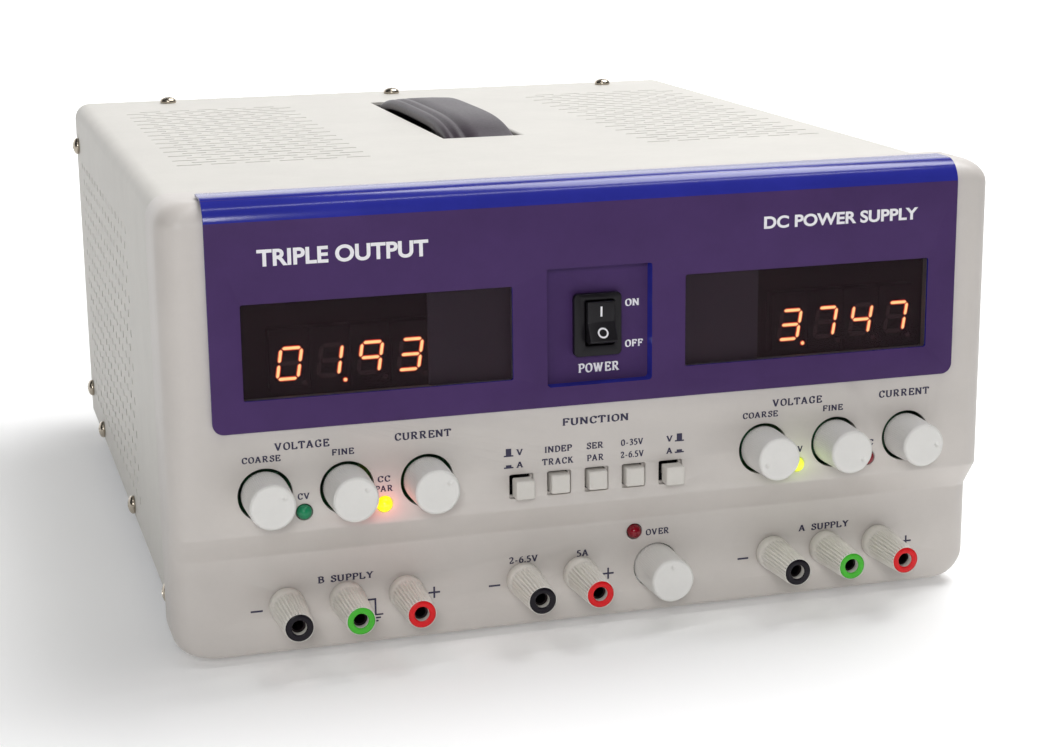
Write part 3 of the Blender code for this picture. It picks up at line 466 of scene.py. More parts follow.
def fascia_look():
    """Glossy blue shell, overprinted in satin violet on its flat front and on the well's floor."""
    material = new_material("fascia_enamel", 0.3, specular=0.4)
    place = node(material, "ShaderNodeTexCoord")
    parts = node(material, "ShaderNodeSeparateXYZ")
    link(material, place.outputs["Object"], parts.inputs["Vector"])
    printed = []
    for depth in (FASCIA_LOW.y, WELL_FLOOR):
        near = node(material, "ShaderNodeMath", operation="COMPARE")
        near.inputs[1].default_value = FACE_Y + depth * MM
        near.inputs[2].default_value = 0.00006
        link(material, parts.outputs["Y"], near.inputs[0])
        printed.append(near)
    front = node(material, "ShaderNodeMath", operation="MAXIMUM")
    for i, near in enumerate(printed):
        link(material, near.outputs["Value"], front.inputs[i])
    drift = noise(material, 30, 9, 0.72)
    violet = drift_between(material, drift, (0.050, 0.023, 0.095), (0.064, 0.030, 0.122))
    blue = drift_between(material, drift, (0.020, 0.024, 0.250), (0.026, 0.030, 0.310))
    colour = node(material, "ShaderNodeMix", data_type="RGBA")
    link(material, front.outputs["Value"], colour.inputs["Factor"])
    link(material, blue, colour.inputs["A"])
    link(material, violet, colour.inputs["B"])
    drive(material, "Base Color", colour.outputs["Result"])
    for socket, shell, print_value in (("Roughness", 0.17, 0.52), ("Specular IOR Level", 0.35, 0.15)):
        gloss = node(material, "ShaderNodeMapRange")
        gloss.inputs["To Min"].default_value = shell
        gloss.inputs["To Max"].default_value = print_value
        link(material, front.outputs["Value"], gloss.inputs["Value"])
        drive(material, socket, gloss.outputs["Result"])
    bump(material, noise(material, 1400, 2), 0.15, 0.00003)
    return material


def window_look():
    """Dark tinted acrylic that shows the digits behind it."""
    material = new_material("tinted_acrylic", 0.14, specular=0.15)
    drift = noise(material, 40, 2)
    tint = drift_between(material, drift, (0.012, 0.004, 0.007), (0.018, 0.007, 0.010))
    drive(material, "Base Color", tint)
    shader_of(material).inputs["Alpha"].default_value = 0.42
    bump(material, noise(material, 500, 2), 0.03, 0.00002)
    material.surface_render_method = "DITHERED"
    return material


def mask_look():
    """Grey backing seen through the inboard part of a window, with a fine woven speckle."""
    material = new_material("speckled_backing", 0.6)
    speckle = noise(material, 1500, 2, 0.7)
    stops = [(0.35, (0.070, 0.048, 0.082)), (0.62, (0.150, 0.110, 0.165))]
    drive(material, "Base Color", ramp(material, speckle, stops))
    bump(material, speckle, 0.4, 0.0001)
    return material


def board_look(name):
    """Green solder mask over faint copper tracks."""
    material = new_material(name, 0.35, specular=0.6)
    place = node(material, "ShaderNodeTexCoord")
    tracks = node(material, "ShaderNodeTexBrick", Scale=60.0)
    tracks.inputs["Color1"].default_value = (0.012, 0.10, 0.035, 1)
    tracks.inputs["Color2"].default_value = (0.016, 0.13, 0.045, 1)
    tracks.inputs["Mortar"].default_value = (0.03, 0.20, 0.07, 1)
    link(material, place.outputs["Object"], tracks.inputs["Vector"])
    drive(material, "Base Color", tracks.outputs["Color"])
    bump(material, tracks.outputs["Fac"], 0.2, 0.00005)
    return material


LOOKS = {
    "bezel": plain_look("bezel_enamel", (0.560, 0.525, 0.495), 0.44, 0.035, 40, 1500, 0.00006, 0.35),
    "cover": plain_look("cover_enamel", (0.600, 0.580, 0.540), 0.50, 0.04, 40, 1400, 0.00007, 0.4),
    "fascia": fascia_look(),
    "window": window_look(),
    "mask": mask_look(),
    "module": plain_look("digit_module_black", (0.014, 0.006, 0.008), 0.5, 0.2, 90, 1500, specular=0.15),
    "segment_off": plain_look("segment_unlit", (0.075, 0.028, 0.034), 0.4, 0.15, 200, 1500),
    "segment_on": glow_look("segment_lit", (0.5, 0.03, 0.02), (1.0, 0.045, 0.02), 1.9),
    "segment_core": glow_look("segment_core", (0.9, 0.7, 0.3), (1.0, 0.66, 0.28), 3.0),
    "black": plain_look("switch_black", (0.008, 0.007, 0.009), 0.30, 0.2, 80, 1300, 0.00003, 0.2,
                        specular=0.22),
    "rocker": plain_look("rocker_black", (0.011, 0.010, 0.012), 0.36, 0.2, 80, 1500, 0.00004, 0.3,
                         specular=0.25),
    "white_print": plain_look("white_print", (0.80, 0.79, 0.82), 0.5, 0.04, 300, 2000),
    "navy_print": plain_look("navy_print", (0.020, 0.016, 0.052), 0.5, 0.15, 300, 2000),
    "knob": plain_look("knob_plastic", (0.70, 0.69, 0.665), 0.42, 0.03, 90, 1400, 0.00005, 0.3),
    "button": plain_look("button_plastic", (0.60, 0.575, 0.535), 0.45, 0.03, 120, 1500, 0.00005, 0.35),
    "post": plain_look("post_plastic", (0.74, 0.715, 0.665), 0.40, 0.03, 110, 1400, 0.00005, 0.3),
    "green_ring": plain_look("post_insert_green", (0.06, 0.44, 0.03), 0.30, 0.08, 300, 1500, specular=0.25),
    "red_ring": plain_look("post_insert_red", (0.64, 0.008, 0.012), 0.30, 0.08, 300, 1500, specular=0.25),
    "black_ring": plain_look("post_insert_black", (0.008, 0.006, 0.010), 0.30, 0.2, 300, 1500, specular=0.2),
    "socket": brushed_look("socket_bronze", (0.10, 0.08, 0.085), 0.35, (1, 0.1, 1)),
    "lens_green": lens_look("lens_green", (0.006, 0.22, 0.09), (0.001, 0.06, 0.03)),
    "lens_red": lens_look("lens_red", (0.24, 0.004, 0.014), (0.05, 0.001, 0.004)),
    "lens_yellow": glow_look("lens_yellow_lit", (0.5, 0.42, 0.01), (1.0, 0.86, 0.0), 0.9),
    "lens_lime": glow_look("lens_lime_lit", (0.40, 0.45, 0.03), (0.72, 0.84, 0.05), 0.85),
    "zinc": zinc_look(),
    "screw": brushed_look("screw_nickel", (0.44, 0.39, 0.32), 0.26, (1, 1, 1)),
    "strap": plain_look("strap_vinyl", (0.030, 0.019, 0.030), 0.42, 0.25, 70, 1100, 0.00010, 0.5,
                        specular=0.35),
    "rubber": plain_look("foot_rubber", (0.018, 0.018, 0.019), 0.78, 0.2, 90, 900, 0.0001, 0.6),
    "sink": plain_look("sink_anodised", (0.018, 0.018, 0.020), 0.42, 0.2, 60, 900, 0.00004, 0.3,
                       metallic=0.6),
    "inlet": plain_look("inlet_black", (0.014, 0.014, 0.015), 0.35, 0.2, 80, 1300),
    "core": plain_look("transformer_varnish", (0.075, 0.062, 0.055), 0.45, 0.25, 300, 700, metallic=0.5),
    "board": board_look("circuit_board"),
}


# ---------------------------------------------------------------- bezel

def face_depth(z):
    """Depth of the bezel's face at a height, both creases of the sloping band rounded."""
    samples = 13
    total = 0
    for i in range(samples):
        height = z + CREASE * (i / (samples - 1) - 0.5)
        slope = (UPPER_FACE_BOTTOM - height) / (UPPER_FACE_BOTTOM - LOWER_FACE_TOP)
        total += LOWER_FACE * min(max(slope, 0), 1)
    return total / samples


def round_off(radius, reach):
    """How far an edge of that radius draws in, at reach past its start."""
    return radius - max(radius ** 2 - max(reach, 0) ** 2, 0) ** 0.5


def bezel_rings(inset, back):
    """Sections of the bezel from bottom to top, each a U whose front follows the stepped face."""
    bottom, top = BEZEL_LOW.z + inset, BEZEL_HIGH.z - inset
    low_corner = BEZEL_BOTTOM_CORNER - inset
    top_corner = max(BEZEL_TOP_CORNER - inset, 1.2)
    edge = max(BEZEL_EDGE - inset, 1.2)
    foot = max(BEZEL_FOOT_EDGE - inset, 0.4)
    heights = [bottom + low_corner * (1 - cos(a)) for a in quarter(12)]
    for crease in (LOWER_FACE_TOP, UPPER_FACE_BOTTOM):
        heights += [crease + CREASE * (i / 6 - 0.5) for i in range(7)]
    heights += [top - top_corner * (1 - cos(a)) for a in reversed(quarter(8))]
    rings = []
    for z in heights:
        half = BEZEL_HALF - inset
        half -= round_off(low_corner, bottom + low_corner - z) + round_off(top_corner, z - top + top_corner)
        front = inset + face_depth(z) + round_off(edge, z - top + edge) + round_off(foot, bottom + foot - z)
        turn = [(half - edge * (1 - sin(a)), front + edge * (1 - cos(a))) for a in quarter(8)]
        side = turn + [(half, back)]
        rings.append([(-x, y, z) for x, y in reversed(side)] + [(x, y, z) for x, y in side])
    return rings


KNOBS = ["knob_left_voltage_coarse", "knob_left_voltage_fine", "knob_left_current",
         "knob_right_voltage_coarse", "knob_right_voltage_fine", "knob_right_current"]
TRIM_KNOB = "knob_fixed_output_trim"
PANEL_LAMPS = ["lamp_left_constant_voltage", "lamp_left_constant_current",
               "lamp_right_constant_voltage", "lamp_right_constant_current"]
BUTTONS = [f"button_cap_{i}" for i in range(1, 6)]
POSTS = range(1, 9)


def through(bm, radius, centre, front, back, segments=48):
    turned(bm, [(radius, front), (radius, back)], segments, "Y", (centre.x, centre.z))


def panel_openings(bm):
    front, back = -4, BEZEL_WALL + 4
    for side in SIDES.values():
        xs = across(side, WINDOW_INNER - GAP, WINDOW_OUTER + GAP)
        block(bm, (xs[0], front, WINDOW_LOW - GAP), (xs[1], back, WINDOW_HIGH + GAP))
    for name in KNOBS:
        through(bm, KNOB_HOLE, middle(name), front, back, 72)
    for name in PANEL_LAMPS:
        through(bm, LAMP_RADIUS + 0.25, middle(name), front, back, 32)
    wall = 1.3
    block(bm, (-WELL_HALF - wall, front, WELL_LOW - wall), (WELL_HALF + wall, back, WELL_HIGH + wall))
    half = BUTTON_HALF + GAP
    for name in BUTTONS:
        c = middle(name)
        prism(bm, rounded_square(c, half, 0.5, 3), "Y", front, back)


def lower_openings(bm):
    front, back = LOWER_FACE - 5, LOWER_FACE + BEZEL_WALL + 4
    for i in POSTS:
        through(bm, POST_STUD + GAP, middle(f"post_core_{i}"), front, back, 24)
    through(bm, KNOB_RADIUS + GAP, middle(TRIM_KNOB), front, back, 72)
    through(bm, LAMP_RADIUS + 0.25, middle("lamp_overload"), front - 6, back, 32)


def button_recesses(bm):
    half = BUTTON_RECESS
    for name in BUTTONS:
        c = middle(name)
        prism(bm, rounded_square(c, half, 0.7, 4), "Y", -3, BUTTON_RECESS_DEPTH)


def make_bezel():
    back = BEZEL_HIGH.y
    bezel = raw_object("bezel_shell", lambda bm: loft(bm, bezel_rings(0, back)))
    combine(bezel, lambda bm: loft(bm, bezel_rings(BEZEL_WALL, back + 10)))
    combine(bezel, panel_openings)
    combine(bezel, lower_openings)
    combine(bezel, button_recesses)
    soften(bezel, 0.28, 2)
    settle(bezel, "bezel", "bezel_enamel", "front_bezel", sharp=35)


# ---------------------------------------------------------------- fascia

def fascia_profile():
    """Side section: up the front, round the bend and back over the top, then the same inside."""
    front, back = FASCIA_LOW.y, FASCIA_HIGH.y
    top, bottom = FASCIA_HIGH.z, FASCIA_LOW.z
    inner = FASCIA_BEND - FASCIA_THICK
    outside = arc(front + FASCIA_BEND, top - FASCIA_BEND, FASCIA_BEND, 180, 90, 10)
    inside = arc(front + FASCIA_BEND, top - FASCIA_BEND, inner, 90, 180, 10)
    under = top - FASCIA_THICK
    ends = [(back, top), (back, under)]
    return [(front, bottom)] + outside + ends + inside + [(front + FASCIA_THICK, bottom)]


def fascia_windows(bm):
    for side in SIDES.values():
        xs = across(side, WINDOW_INNER, WINDOW_OUTER)
        prism(bm, rounded(xs[0], xs[1], WINDOW_LOW, WINDOW_HIGH, 0.7, 4), "Y", -5, 3)


def well_tub(bm):
    wide = WELL_HALF + 1
    block(bm, (-wide, FASCIA_LOW.y + 0.5, WELL_LOW - 1), (wide, WELL_FLOOR + 1, WELL_HIGH + 1))


def well_space(bm):
    outline = rounded(-WELL_HALF, WELL_HALF, WELL_LOW, WELL_HIGH, (1.2, 1.2, 0.8, 0.8), 5)
    prism(bm, outline, "Y", -5, WELL_FLOOR)


def switch_hole(bm):
    half = SWITCH_HALF - 0.9
    block(bm, (-half, WELL_FLOOR - 1, SWITCH_LOW + 0.9), (half, WELL_FLOOR + 4, SWITCH_HIGH - 0.9))


def fascia_corners(bm):
    """Takes off the square outside corners at the lower edge."""
    low = FASCIA_LOW.z
    for side in SIDES.values():
        centre = side * (FASCIA_HALF - FASCIA_CORNER)
        curve = arc(centre, low + FASCIA_CORNER, FASCIA_CORNER, 270, 270 + side * 90, 8)
        beyond = side * (FASCIA_HALF + 2)
        outline = curve + [(beyond, low + FASCIA_CORNER), (beyond, low - 2), (centre, low - 2)]
        prism(bm, outline, "Y", -5, 5)


def make_fascia():
    def shell(bm):
        prism(bm, fascia_profile(), "X", -FASCIA_HALF, FASCIA_HALF)

    fascia = raw_object("fascia_panel", shell)
    combine(fascia, well_tub, "UNION")
    for maker in (fascia_windows, well_space, switch_hole, fascia_corners):
        combine(fascia, maker)
    soften(fascia, 0.38, 3)
    settle(fascia, "fascia", "fascia_blue", "blue_fascia", sharp=35)


# ---------------------------------------------------------------- displays

DIGIT_PITCH = 12.5
DIGIT_MIDDLE_Z = 96.5
DIGIT_HALF_WIDTH, DIGIT_HALF_HEIGHT = 3.85, 5.4
DIGIT_SLANT = sin(radians(9))
STROKE = 0.68  # half the width of a segment
CORE = 0.42  # half the width of its bright middle
POINT_X, POINT_Z = 4.5, -6.4  # decimal point from the digit's middle
MODULE_FRONT, MODULE_BACK = 4.0, 12.2
MODULE_LOW, MODULE_HIGH = 87.9, 107.0
LIT_SEGMENTS = {"0": "abcdef", "1": "bc", "3": "abcdg", "4": "bcfg", "7": "abc", "9": "abcfg"}
DISPLAYS = {"left": ("0193", 1, -97.1), "right": ("3747", 0, 66.3)}


def segment_outlines(wide):
    """The seven bars of one digit about its middle, slanted; wide is half their width."""
    reach_x, reach_z = DIGIT_HALF_WIDTH - STROKE, DIGIT_HALF_HEIGHT - STROKE
    clear = 0.18 + 0.8 * (STROKE - wide)
    bars = {}
    for name, z in (("a", reach_z), ("g", 0), ("d", -reach_z)):
        e = reach_x - clear
        bars[name] = [(-e, z), (-e + wide, z - wide), (e - wide, z - wide), (e, z), (e - wide, z + wide),
                      (-e + wide, z + wide)]
    for name, x, up in (("f", -reach_x, 1), ("b", reach_x, 1), ("e", -reach_x, -1), ("c", reach_x, -1)):
        low, high = sorted((up * clear, up * (reach_z - clear)))
        bars[name] = [(x, low), (x + wide, low + wide), (x + wide, high - wide), (x, high),
                      (x - wide, high - wide), (x - wide, low + wide)]
    return {name: [(x + DIGIT_SLANT * z, z) for x, z in bar] for name, bar in bars.items()}


def make_display(word):
    digits, point_after, first = DISPLAYS[word]
    side = SIDES[word]
    middles = [first + DIGIT_PITCH * i for i in range(4)]

    def plates(bm, wanted, wide, lift):
        bars = segment_outlines(wide)
        for i, (digit, x) in enumerate(zip(digits, middles)):
            shapes = [bar for name, bar in bars.items() if (name in LIT_SEGMENTS[digit]) == wanted]
            if (i == point_after) == wanted:
                dot = wide + 0.12
                shapes.append([(POINT_X + dot * cos(a), POINT_Z + dot * sin(a)) for a in full_turn(16)])
            for shape in shapes:
                outline = [(x + a, DIGIT_MIDDLE_Z + b) for a, b in shape]
                prism(bm, outline, "Y", MODULE_FRONT - lift, MODULE_FRONT + 0.1)

    def blocks(bm):
        for x in middles:
            half = DIGIT_PITCH / 2 - 0.12
            outline = rounded(x - half, x + half, MODULE_LOW, MODULE_HIGH, 0.3, 2)
            prism(bm, outline, "Y", MODULE_FRONT, MODULE_BACK)

    def board(bm):
        xs = across(side, WINDOW_INNER + 1, WINDOW_OUTER + 6)
        prism(bm, rounded(xs[0], xs[1], WINDOW_LOW - 4, WINDOW_HIGH + 4, 1, 3), "Y", 12.3, 13.9)

    def backing(bm):
        xs = across(side, DIGIT_INNER - 2, WINDOW_OUTER + 3)
        block(bm, (xs[0], 8.6, WINDOW_LOW - 3), (xs[1], 9.6, WINDOW_HIGH + 3))

    def mask(bm):
        xs = across(side, WINDOW_INNER - 1.5, DIGIT_INNER)
        prism(bm, rounded(xs[0], xs[1], WINDOW_LOW - 1.5, WINDOW_HIGH + 1.5, 0.5, 2), "Y", 2.0, 3.2)

    node_name = "display_module_" + word
    piece("digit_blocks_" + word, blocks, "module", "digit_module", node_name, bevel=0.15)
    piece("digit_board_" + word, board, "board", "circuit_board", node_name, bevel=0.1)
    piece("digit_backing_" + word, backing, "module", "digit_module", node_name, bevel=0.1)
    piece("display_mask_" + word, mask, "mask", "digit_module", node_name, bevel=0.15)
    for name, look, wanted, wide, lift in (("segments_lit_", "segment_on", True, STROKE, 0.18),
                                           ("segments_core_", "segment_core", True, CORE, 0.26),
                                           ("segments_unlit_", "segment_off", False, STROKE, 0.10)):
        piece(name + word, lambda bm: plates(bm, wanted, wide, lift), look, "digit_module")
    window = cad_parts["display_window_" + word]
    window.material_slots[0].material = LOOKS["window"]
    soft_edge(window, 0.3)


def soft_edge(cad_node, width):
    """Rounds a CAD node's edges without touching its mesh; width is in millimetres."""
    modifier = cad_node.modifiers.new("round", "BEVEL")
    modifier.width = width * MM
    modifier.segments = 2
    modifier.limit_method = "ANGLE"
    modifier.angle_limit = radians(40)


# ---------------------------------------------------------------- mains switch

# Corners of the rocker's upper half: distance from the pivot and degrees from straight ahead or behind.
ROCKER_FRONT = ((7.2, 59), (7.2, 64), (6.9, 72), (6.6, 88))
ROCKER_BACK = ((5.8, 65), (4.5, 30))


def make_switch():
    def flange(bm):
        prism(bm, rounded(-SWITCH_HALF, SWITCH_HALF, SWITCH_LOW, SWITCH_HIGH, 1.5), "Y",
              SWITCH_FRONT, WELL_FLOOR - 0.3)

    def body(bm):
        half = SWITCH_HALF - 1.2
        block(bm, (-half, WELL_FLOOR - 0.8, SWITCH_LOW + 1.2), (half, 15.5, SWITCH_HIGH - 1.2))
        for z in (ROCKER_Z - 5, ROCKER_Z + 5):
            block(bm, (-2.4, 15, z - 0.4), (2.4, 22.5, z + 0.4))

    def pocket(bm):
        half_x, half_z = ROCKER_HALF + 0.3, 7.2
        outline = rounded(ROCKER_X - half_x, ROCKER_X + half_x, ROCKER_Z - half_z, ROCKER_Z + half_z, 0.6, 3)
        prism(bm, outline, "Y", SWITCH_FRONT - 3, ROCKER_PIVOT + 6.2)

    housing = raw_object("switch_housing", flange)
    combine(housing, body, "UNION")
    combine(housing, pocket)
    soften(housing, 0.45, 3)
    settle(housing, "black", "black_plastic", "power_switch_housing")

    half_face = [(-1.9, 0.0)]
    half_face += [(-r * cos(radians(a)), r * sin(radians(a))) for r, a in ROCKER_FRONT]
    half_face += [(r * cos(radians(a)), r * sin(radians(a))) for r, a in ROCKER_BACK]
    outline = half_face + [(y, -z) for y, z in reversed(half_face[1:])]
    tilt = Matrix.Translation((ROCKER_X, ROCKER_PIVOT, ROCKER_Z)) @ Matrix.Rotation(ROCKER_TILT, 4, "X")

    rocker = raw_object("rocker", lambda bm: prism(bm, outline, "X", -ROCKER_HALF, ROCKER_HALF))
    soften(rocker, 0.3, 3, 25)
    rocker.data.transform(tilt)
    settle(rocker, "rocker", "black_plastic", "power_rocker", body="power_rocker", sharp=50)

    centre, tip = Vector((-1.9, 0)), Vector(half_face[1])
    along = (tip - centre).normalized()
    out = Vector((-along.y, along.x))

    def on_face(sign, lift):
        def placed(x, s):
            y, z = centre + along * s + out * lift
            return tilt @ Vector((x, y, sign * z))
        return placed

    def marks(bm):
        bar = [[(-0.3, 1.8), (0.3, 1.8), (0.3, 5.0), (-0.3, 5.0)]]
        slab(bm, *region(bar), on_face(1, 0.05), on_face(1, -0.03))
        outer, inner = [[(r * cos(a), 3.6 + r * sin(a)) for a in full_turn(36)] for r in (1.75, 1.2)]
        slab(bm, *region([outer], [inner]), on_face(-1, 0.05), on_face(-1, -0.03))

    piece("rocker_marks", marks, "white_print", "black_plastic", body="power_rocker")


# ---------------------------------------------------------------- knobs, lamps, buttons

KNOB_RIBS = 72
POINTERS = {  # degrees anticlockwise from straight right
    "knob_left_voltage_coarse": 36, "knob_left_voltage_fine": 39, "knob_left_current": 35,
    "knob_right_voltage_coarse": 202, "knob_right_voltage_fine": -35, "knob_right_current": 0,
    TRIM_KNOB: 88,
}


def make_knob(name):
    low, high = corners(name)
    c = (low + high) / 2
    panel = LOWER_FACE if name == TRIM_KNOB else 0.0
    front = low.y
    pointer = radians(POINTERS[name])

    def ribs(angle):
        return 1 - 0.016 * (0.5 - 0.5 * cos(KNOB_RIBS * angle))

    def radius_at(depth):
        """The cone tapers from the skirt at the panel to the front."""
        share = (panel - 2.0 - depth) / (panel - 2.0 - front)
        return KNOB_RADIUS + (KNOB_FACE_RADIUS - KNOB_RADIUS) * max(share, 0)

    def sleeve(bm):
        segments = KNOB_RIBS * 6
        rows = [(6.2, front + 0.9, None), (radius_at(front) - 0.25, front + 0.35, None),
                (radius_at(front) - 0.02, front + 0.75, None), (radius_at(front + 1.1), front + 1.1, ribs),
                (radius_at(panel - 4), panel - 4.0, ribs), (KNOB_RADIUS, panel - 1.2, ribs),
                (KNOB_RADIUS, panel + 0.8, ribs), (3.0, panel + 0.8, None), (3.0, high.y, None)]
        loft(bm, [ring_points(r, y, segments, "Y", (c.x, c.z), s) for r, y, s in rows])

    def cap(bm):
        rim = KNOB_FACE_RADIUS - 0.28
        rings = [(rim, front + 2.0)]
        rings += [(rim - 0.7 + 0.7 * cos(a), front + 0.7 - 0.7 * sin(a)) for a in quarter(6, 1)]
        rings += [(r, front) for r in (5.3, 5.05, 4.8, 4.55, 4.3, 4.05, 3.8, 3.55, 3.3, 3.0, 2.5, 1.4, 0.4)]
        dimple = Vector((0.64 * KNOB_FACE_RADIUS * cos(pointer), 0.64 * KNOB_FACE_RADIUS * sin(pointer)))
        loops = []
        for r, y in rings:
            loop = []
            for a in full_turn(96):
                flat = Vector((r * cos(a), r * sin(a)))
                away = (flat - dimple).length / 0.95
                sink = 0.55 * max(0, 1 - away ** 2) ** 1.5 if r < 5.6 else 0
                loop.append((c.x + flat.x, y + sink, c.z + flat.y))
            loops.append(loop)
        loft(bm, loops)

    for word, maker in (("knob_sleeve_", sleeve), ("knob_cap_", cap)):
        piece(name.replace("knob_", word), maker, "knob", "knob_white", name, body=name, sharp=60)


LAMP_LOOKS = {
    "lamp_left_constant_voltage": ("lens_green", "lamp_green"),
    "lamp_left_constant_current": ("lens_yellow", "lamp_yellow_lit"),
    "lamp_right_constant_voltage": ("lens_lime", "lamp_lime_lit"),
    "lamp_right_constant_current": ("lens_red", "lamp_red"),
    "lamp_overload": ("lens_red", "lamp_red"),
}


def make_lamp(name):
    low, high = corners(name)
    c = (low + high) / 2
    look, slot_name = LAMP_LOOKS[name]
    panel = LOWER_FACE if name == "lamp_overload" else 0.0
    radius = LAMP_RADIUS

    def lens(bm):
        back = panel + 3.6
        profile = [(0.12, low.y)]
        profile += [(radius * sin(a), low.y + radius * (1 - cos(a))) for a in quarter(10, 1)]
        profile += [(radius, back), (radius + 0.45, back), (radius + 0.45, back + 0.9),
                    (radius - 0.2, back + 0.9)]
        turned(bm, profile, 40, "Y", (c.x, c.z))

    def legs(bm):
        for x in (-1.27, 1.27):
            block(bm, (c.x + x - 0.25, panel + 4.3, c.z - 0.25), (c.x + x + 0.25, high.y, c.z + 0.25))

    piece(name + "_lens", lens, look, slot_name, name, sharp=40)
    piece(name + "_legs", legs, "socket", "post_metal", name, bevel=0.08)


def make_button(name):
    low, high = corners(name)
    c = (low + high) / 2
    front = low.y

    def cap(bm):
        """Square cap: crowned edges and a shallow dish in its face."""
        def square(half, depth, radius):
            return [(x, depth, z) for x, z in rounded_square(c, half, radius, 4)]
        half = BUTTON_HALF
        shoulder = [square(half - 0.55 * (1 - cos(a)), front + 0.55 * (1 - sin(a)), 0.55)
                    for a in quarter(5)]
        rear = high.y
        rings = [square(1.5, rear, 0.2), square(1.5, rear - 5, 0.2), square(half, rear - 5, 0.55)] + shoulder
        rings += [square(half - 0.9, front + 0.06, 0.5), square(half - 1.5, front + 0.14, 0.4),
                  square(half - 2.4, front + 0.18, 0.3)]
        loft(bm, rings)

    piece(name + "_key", cap, "button", "button_grey", name, body=name, sharp=50)


# ---------------------------------------------------------------- binding posts

POST_RIBS = 26
INSERTS = {1: "black", 2: "green", 3: "red", 4: "black", 5: "red", 6: "black", 7: "green", 8: "red"}


def make_post(i):
    cap_low, cap_high = corners(f"post_cap_{i}")
    c = (cap_low + cap_high) / 2
    front, back = cap_low.y, cap_high.y
    core_low, core_high = corners(f"post_core_{i}")

    def ribs(angle):
        return 1 - 0.115 * (1 - abs(cos(POST_RIBS * angle / 2)) ** 0.8)

    def cap(bm):
        segments = POST_RIBS * 8
        base, face = POST_RADIUS, POST_FACE_RADIUS
        rows = [(base - 1.2, back, None), (base - 0.35, back - 0.15, None), (base, back - 0.7, None),
                (base, back - 3.4, None), (base - 0.12, back - 4.2, None), (base - 0.35, back - 4.9, None)]
        start, end = back - 5.6, front + 1.0
        for k in range(5):
            t = k / 4
            rows.append((base - 0.2 + (face + 0.25 - base) * t, start + (end - start) * t, ribs))
        rows += [(face - 0.02, front + 0.45, ribs), (face - 0.08, front + 0.12, None),
                 (face - 0.18, front, None), (face - 0.24, front + 0.02, None),
                 (4.3, front + 0.5, None), (POST_HOLE, front + 0.5, None),
                 (POST_HOLE, front + 2.5, None), (POST_STUD + 0.3, front + 2.5, None),
                 (POST_STUD + 0.3, back, None)]
        tube(bm, [ring_points(r, y, segments, "Y", (c.x, c.z), s) for r, y, s in rows])

    def insert(bm):
        """Coloured ring let into the cap's front, with a rounded lip round the socket."""
        rows = [(POST_HOLE + 0.02, front + 1.2)]
        rows += [(2.32 + 0.5 * (1 - cos(a)), front + 0.5 - 0.5 * sin(a)) for a in quarter(5)]
        rows += [(4.1, front + 0.03), (4.26, front + 0.18), (4.28, front + 0.5), (4.28, front + 1.2)]
        tube(bm, [ring_points(r, y, 48, "Y", (c.x, c.z)) for r, y in rows])

    def core(bm):
        """Split banana socket in its threaded stud, with the nut and washer behind the panel."""
        washer = LOWER_FACE + BEZEL_WALL + 0.3
        tip = core_low.y
        rows = [(1.9, tip + 17), (1.9, tip), (2.1, tip), (POST_STUD - 0.1, tip + 0.1), (POST_STUD, tip + 0.3)]
        start, pitch, root = back - 8.0, 0.8, POST_STUD - 0.25
        for k in range(int((washer - 1.0 - start) / pitch)):
            rows += [(POST_STUD, start + pitch * k), (root, start + pitch * (k + 0.5))]
        rows += [(POST_STUD, washer), (5.0, washer), (5.0, washer + 0.8), (4.6, washer + 0.8),
                 (4.6, washer + 3), (POST_STUD, washer + 3), (POST_STUD, core_high.y),
                 (POST_STUD - 0.3, core_high.y)]
        turned(bm, rows, 24, "Y", (c.x, c.z))

    body = f"post_cap_{i}"
    piece(f"post_grip_{i}", cap, "post", "post_ivory", body, body=body, sharp=50)
    piece(f"post_insert_{i}", insert, INSERTS[i] + "_ring", "post_ivory", body=body, sharp=50)
    piece(f"post_socket_{i}", core, "socket", "post_metal", f"post_core_{i}", sharp=45)


# ---------------------------------------------------------------- lettering

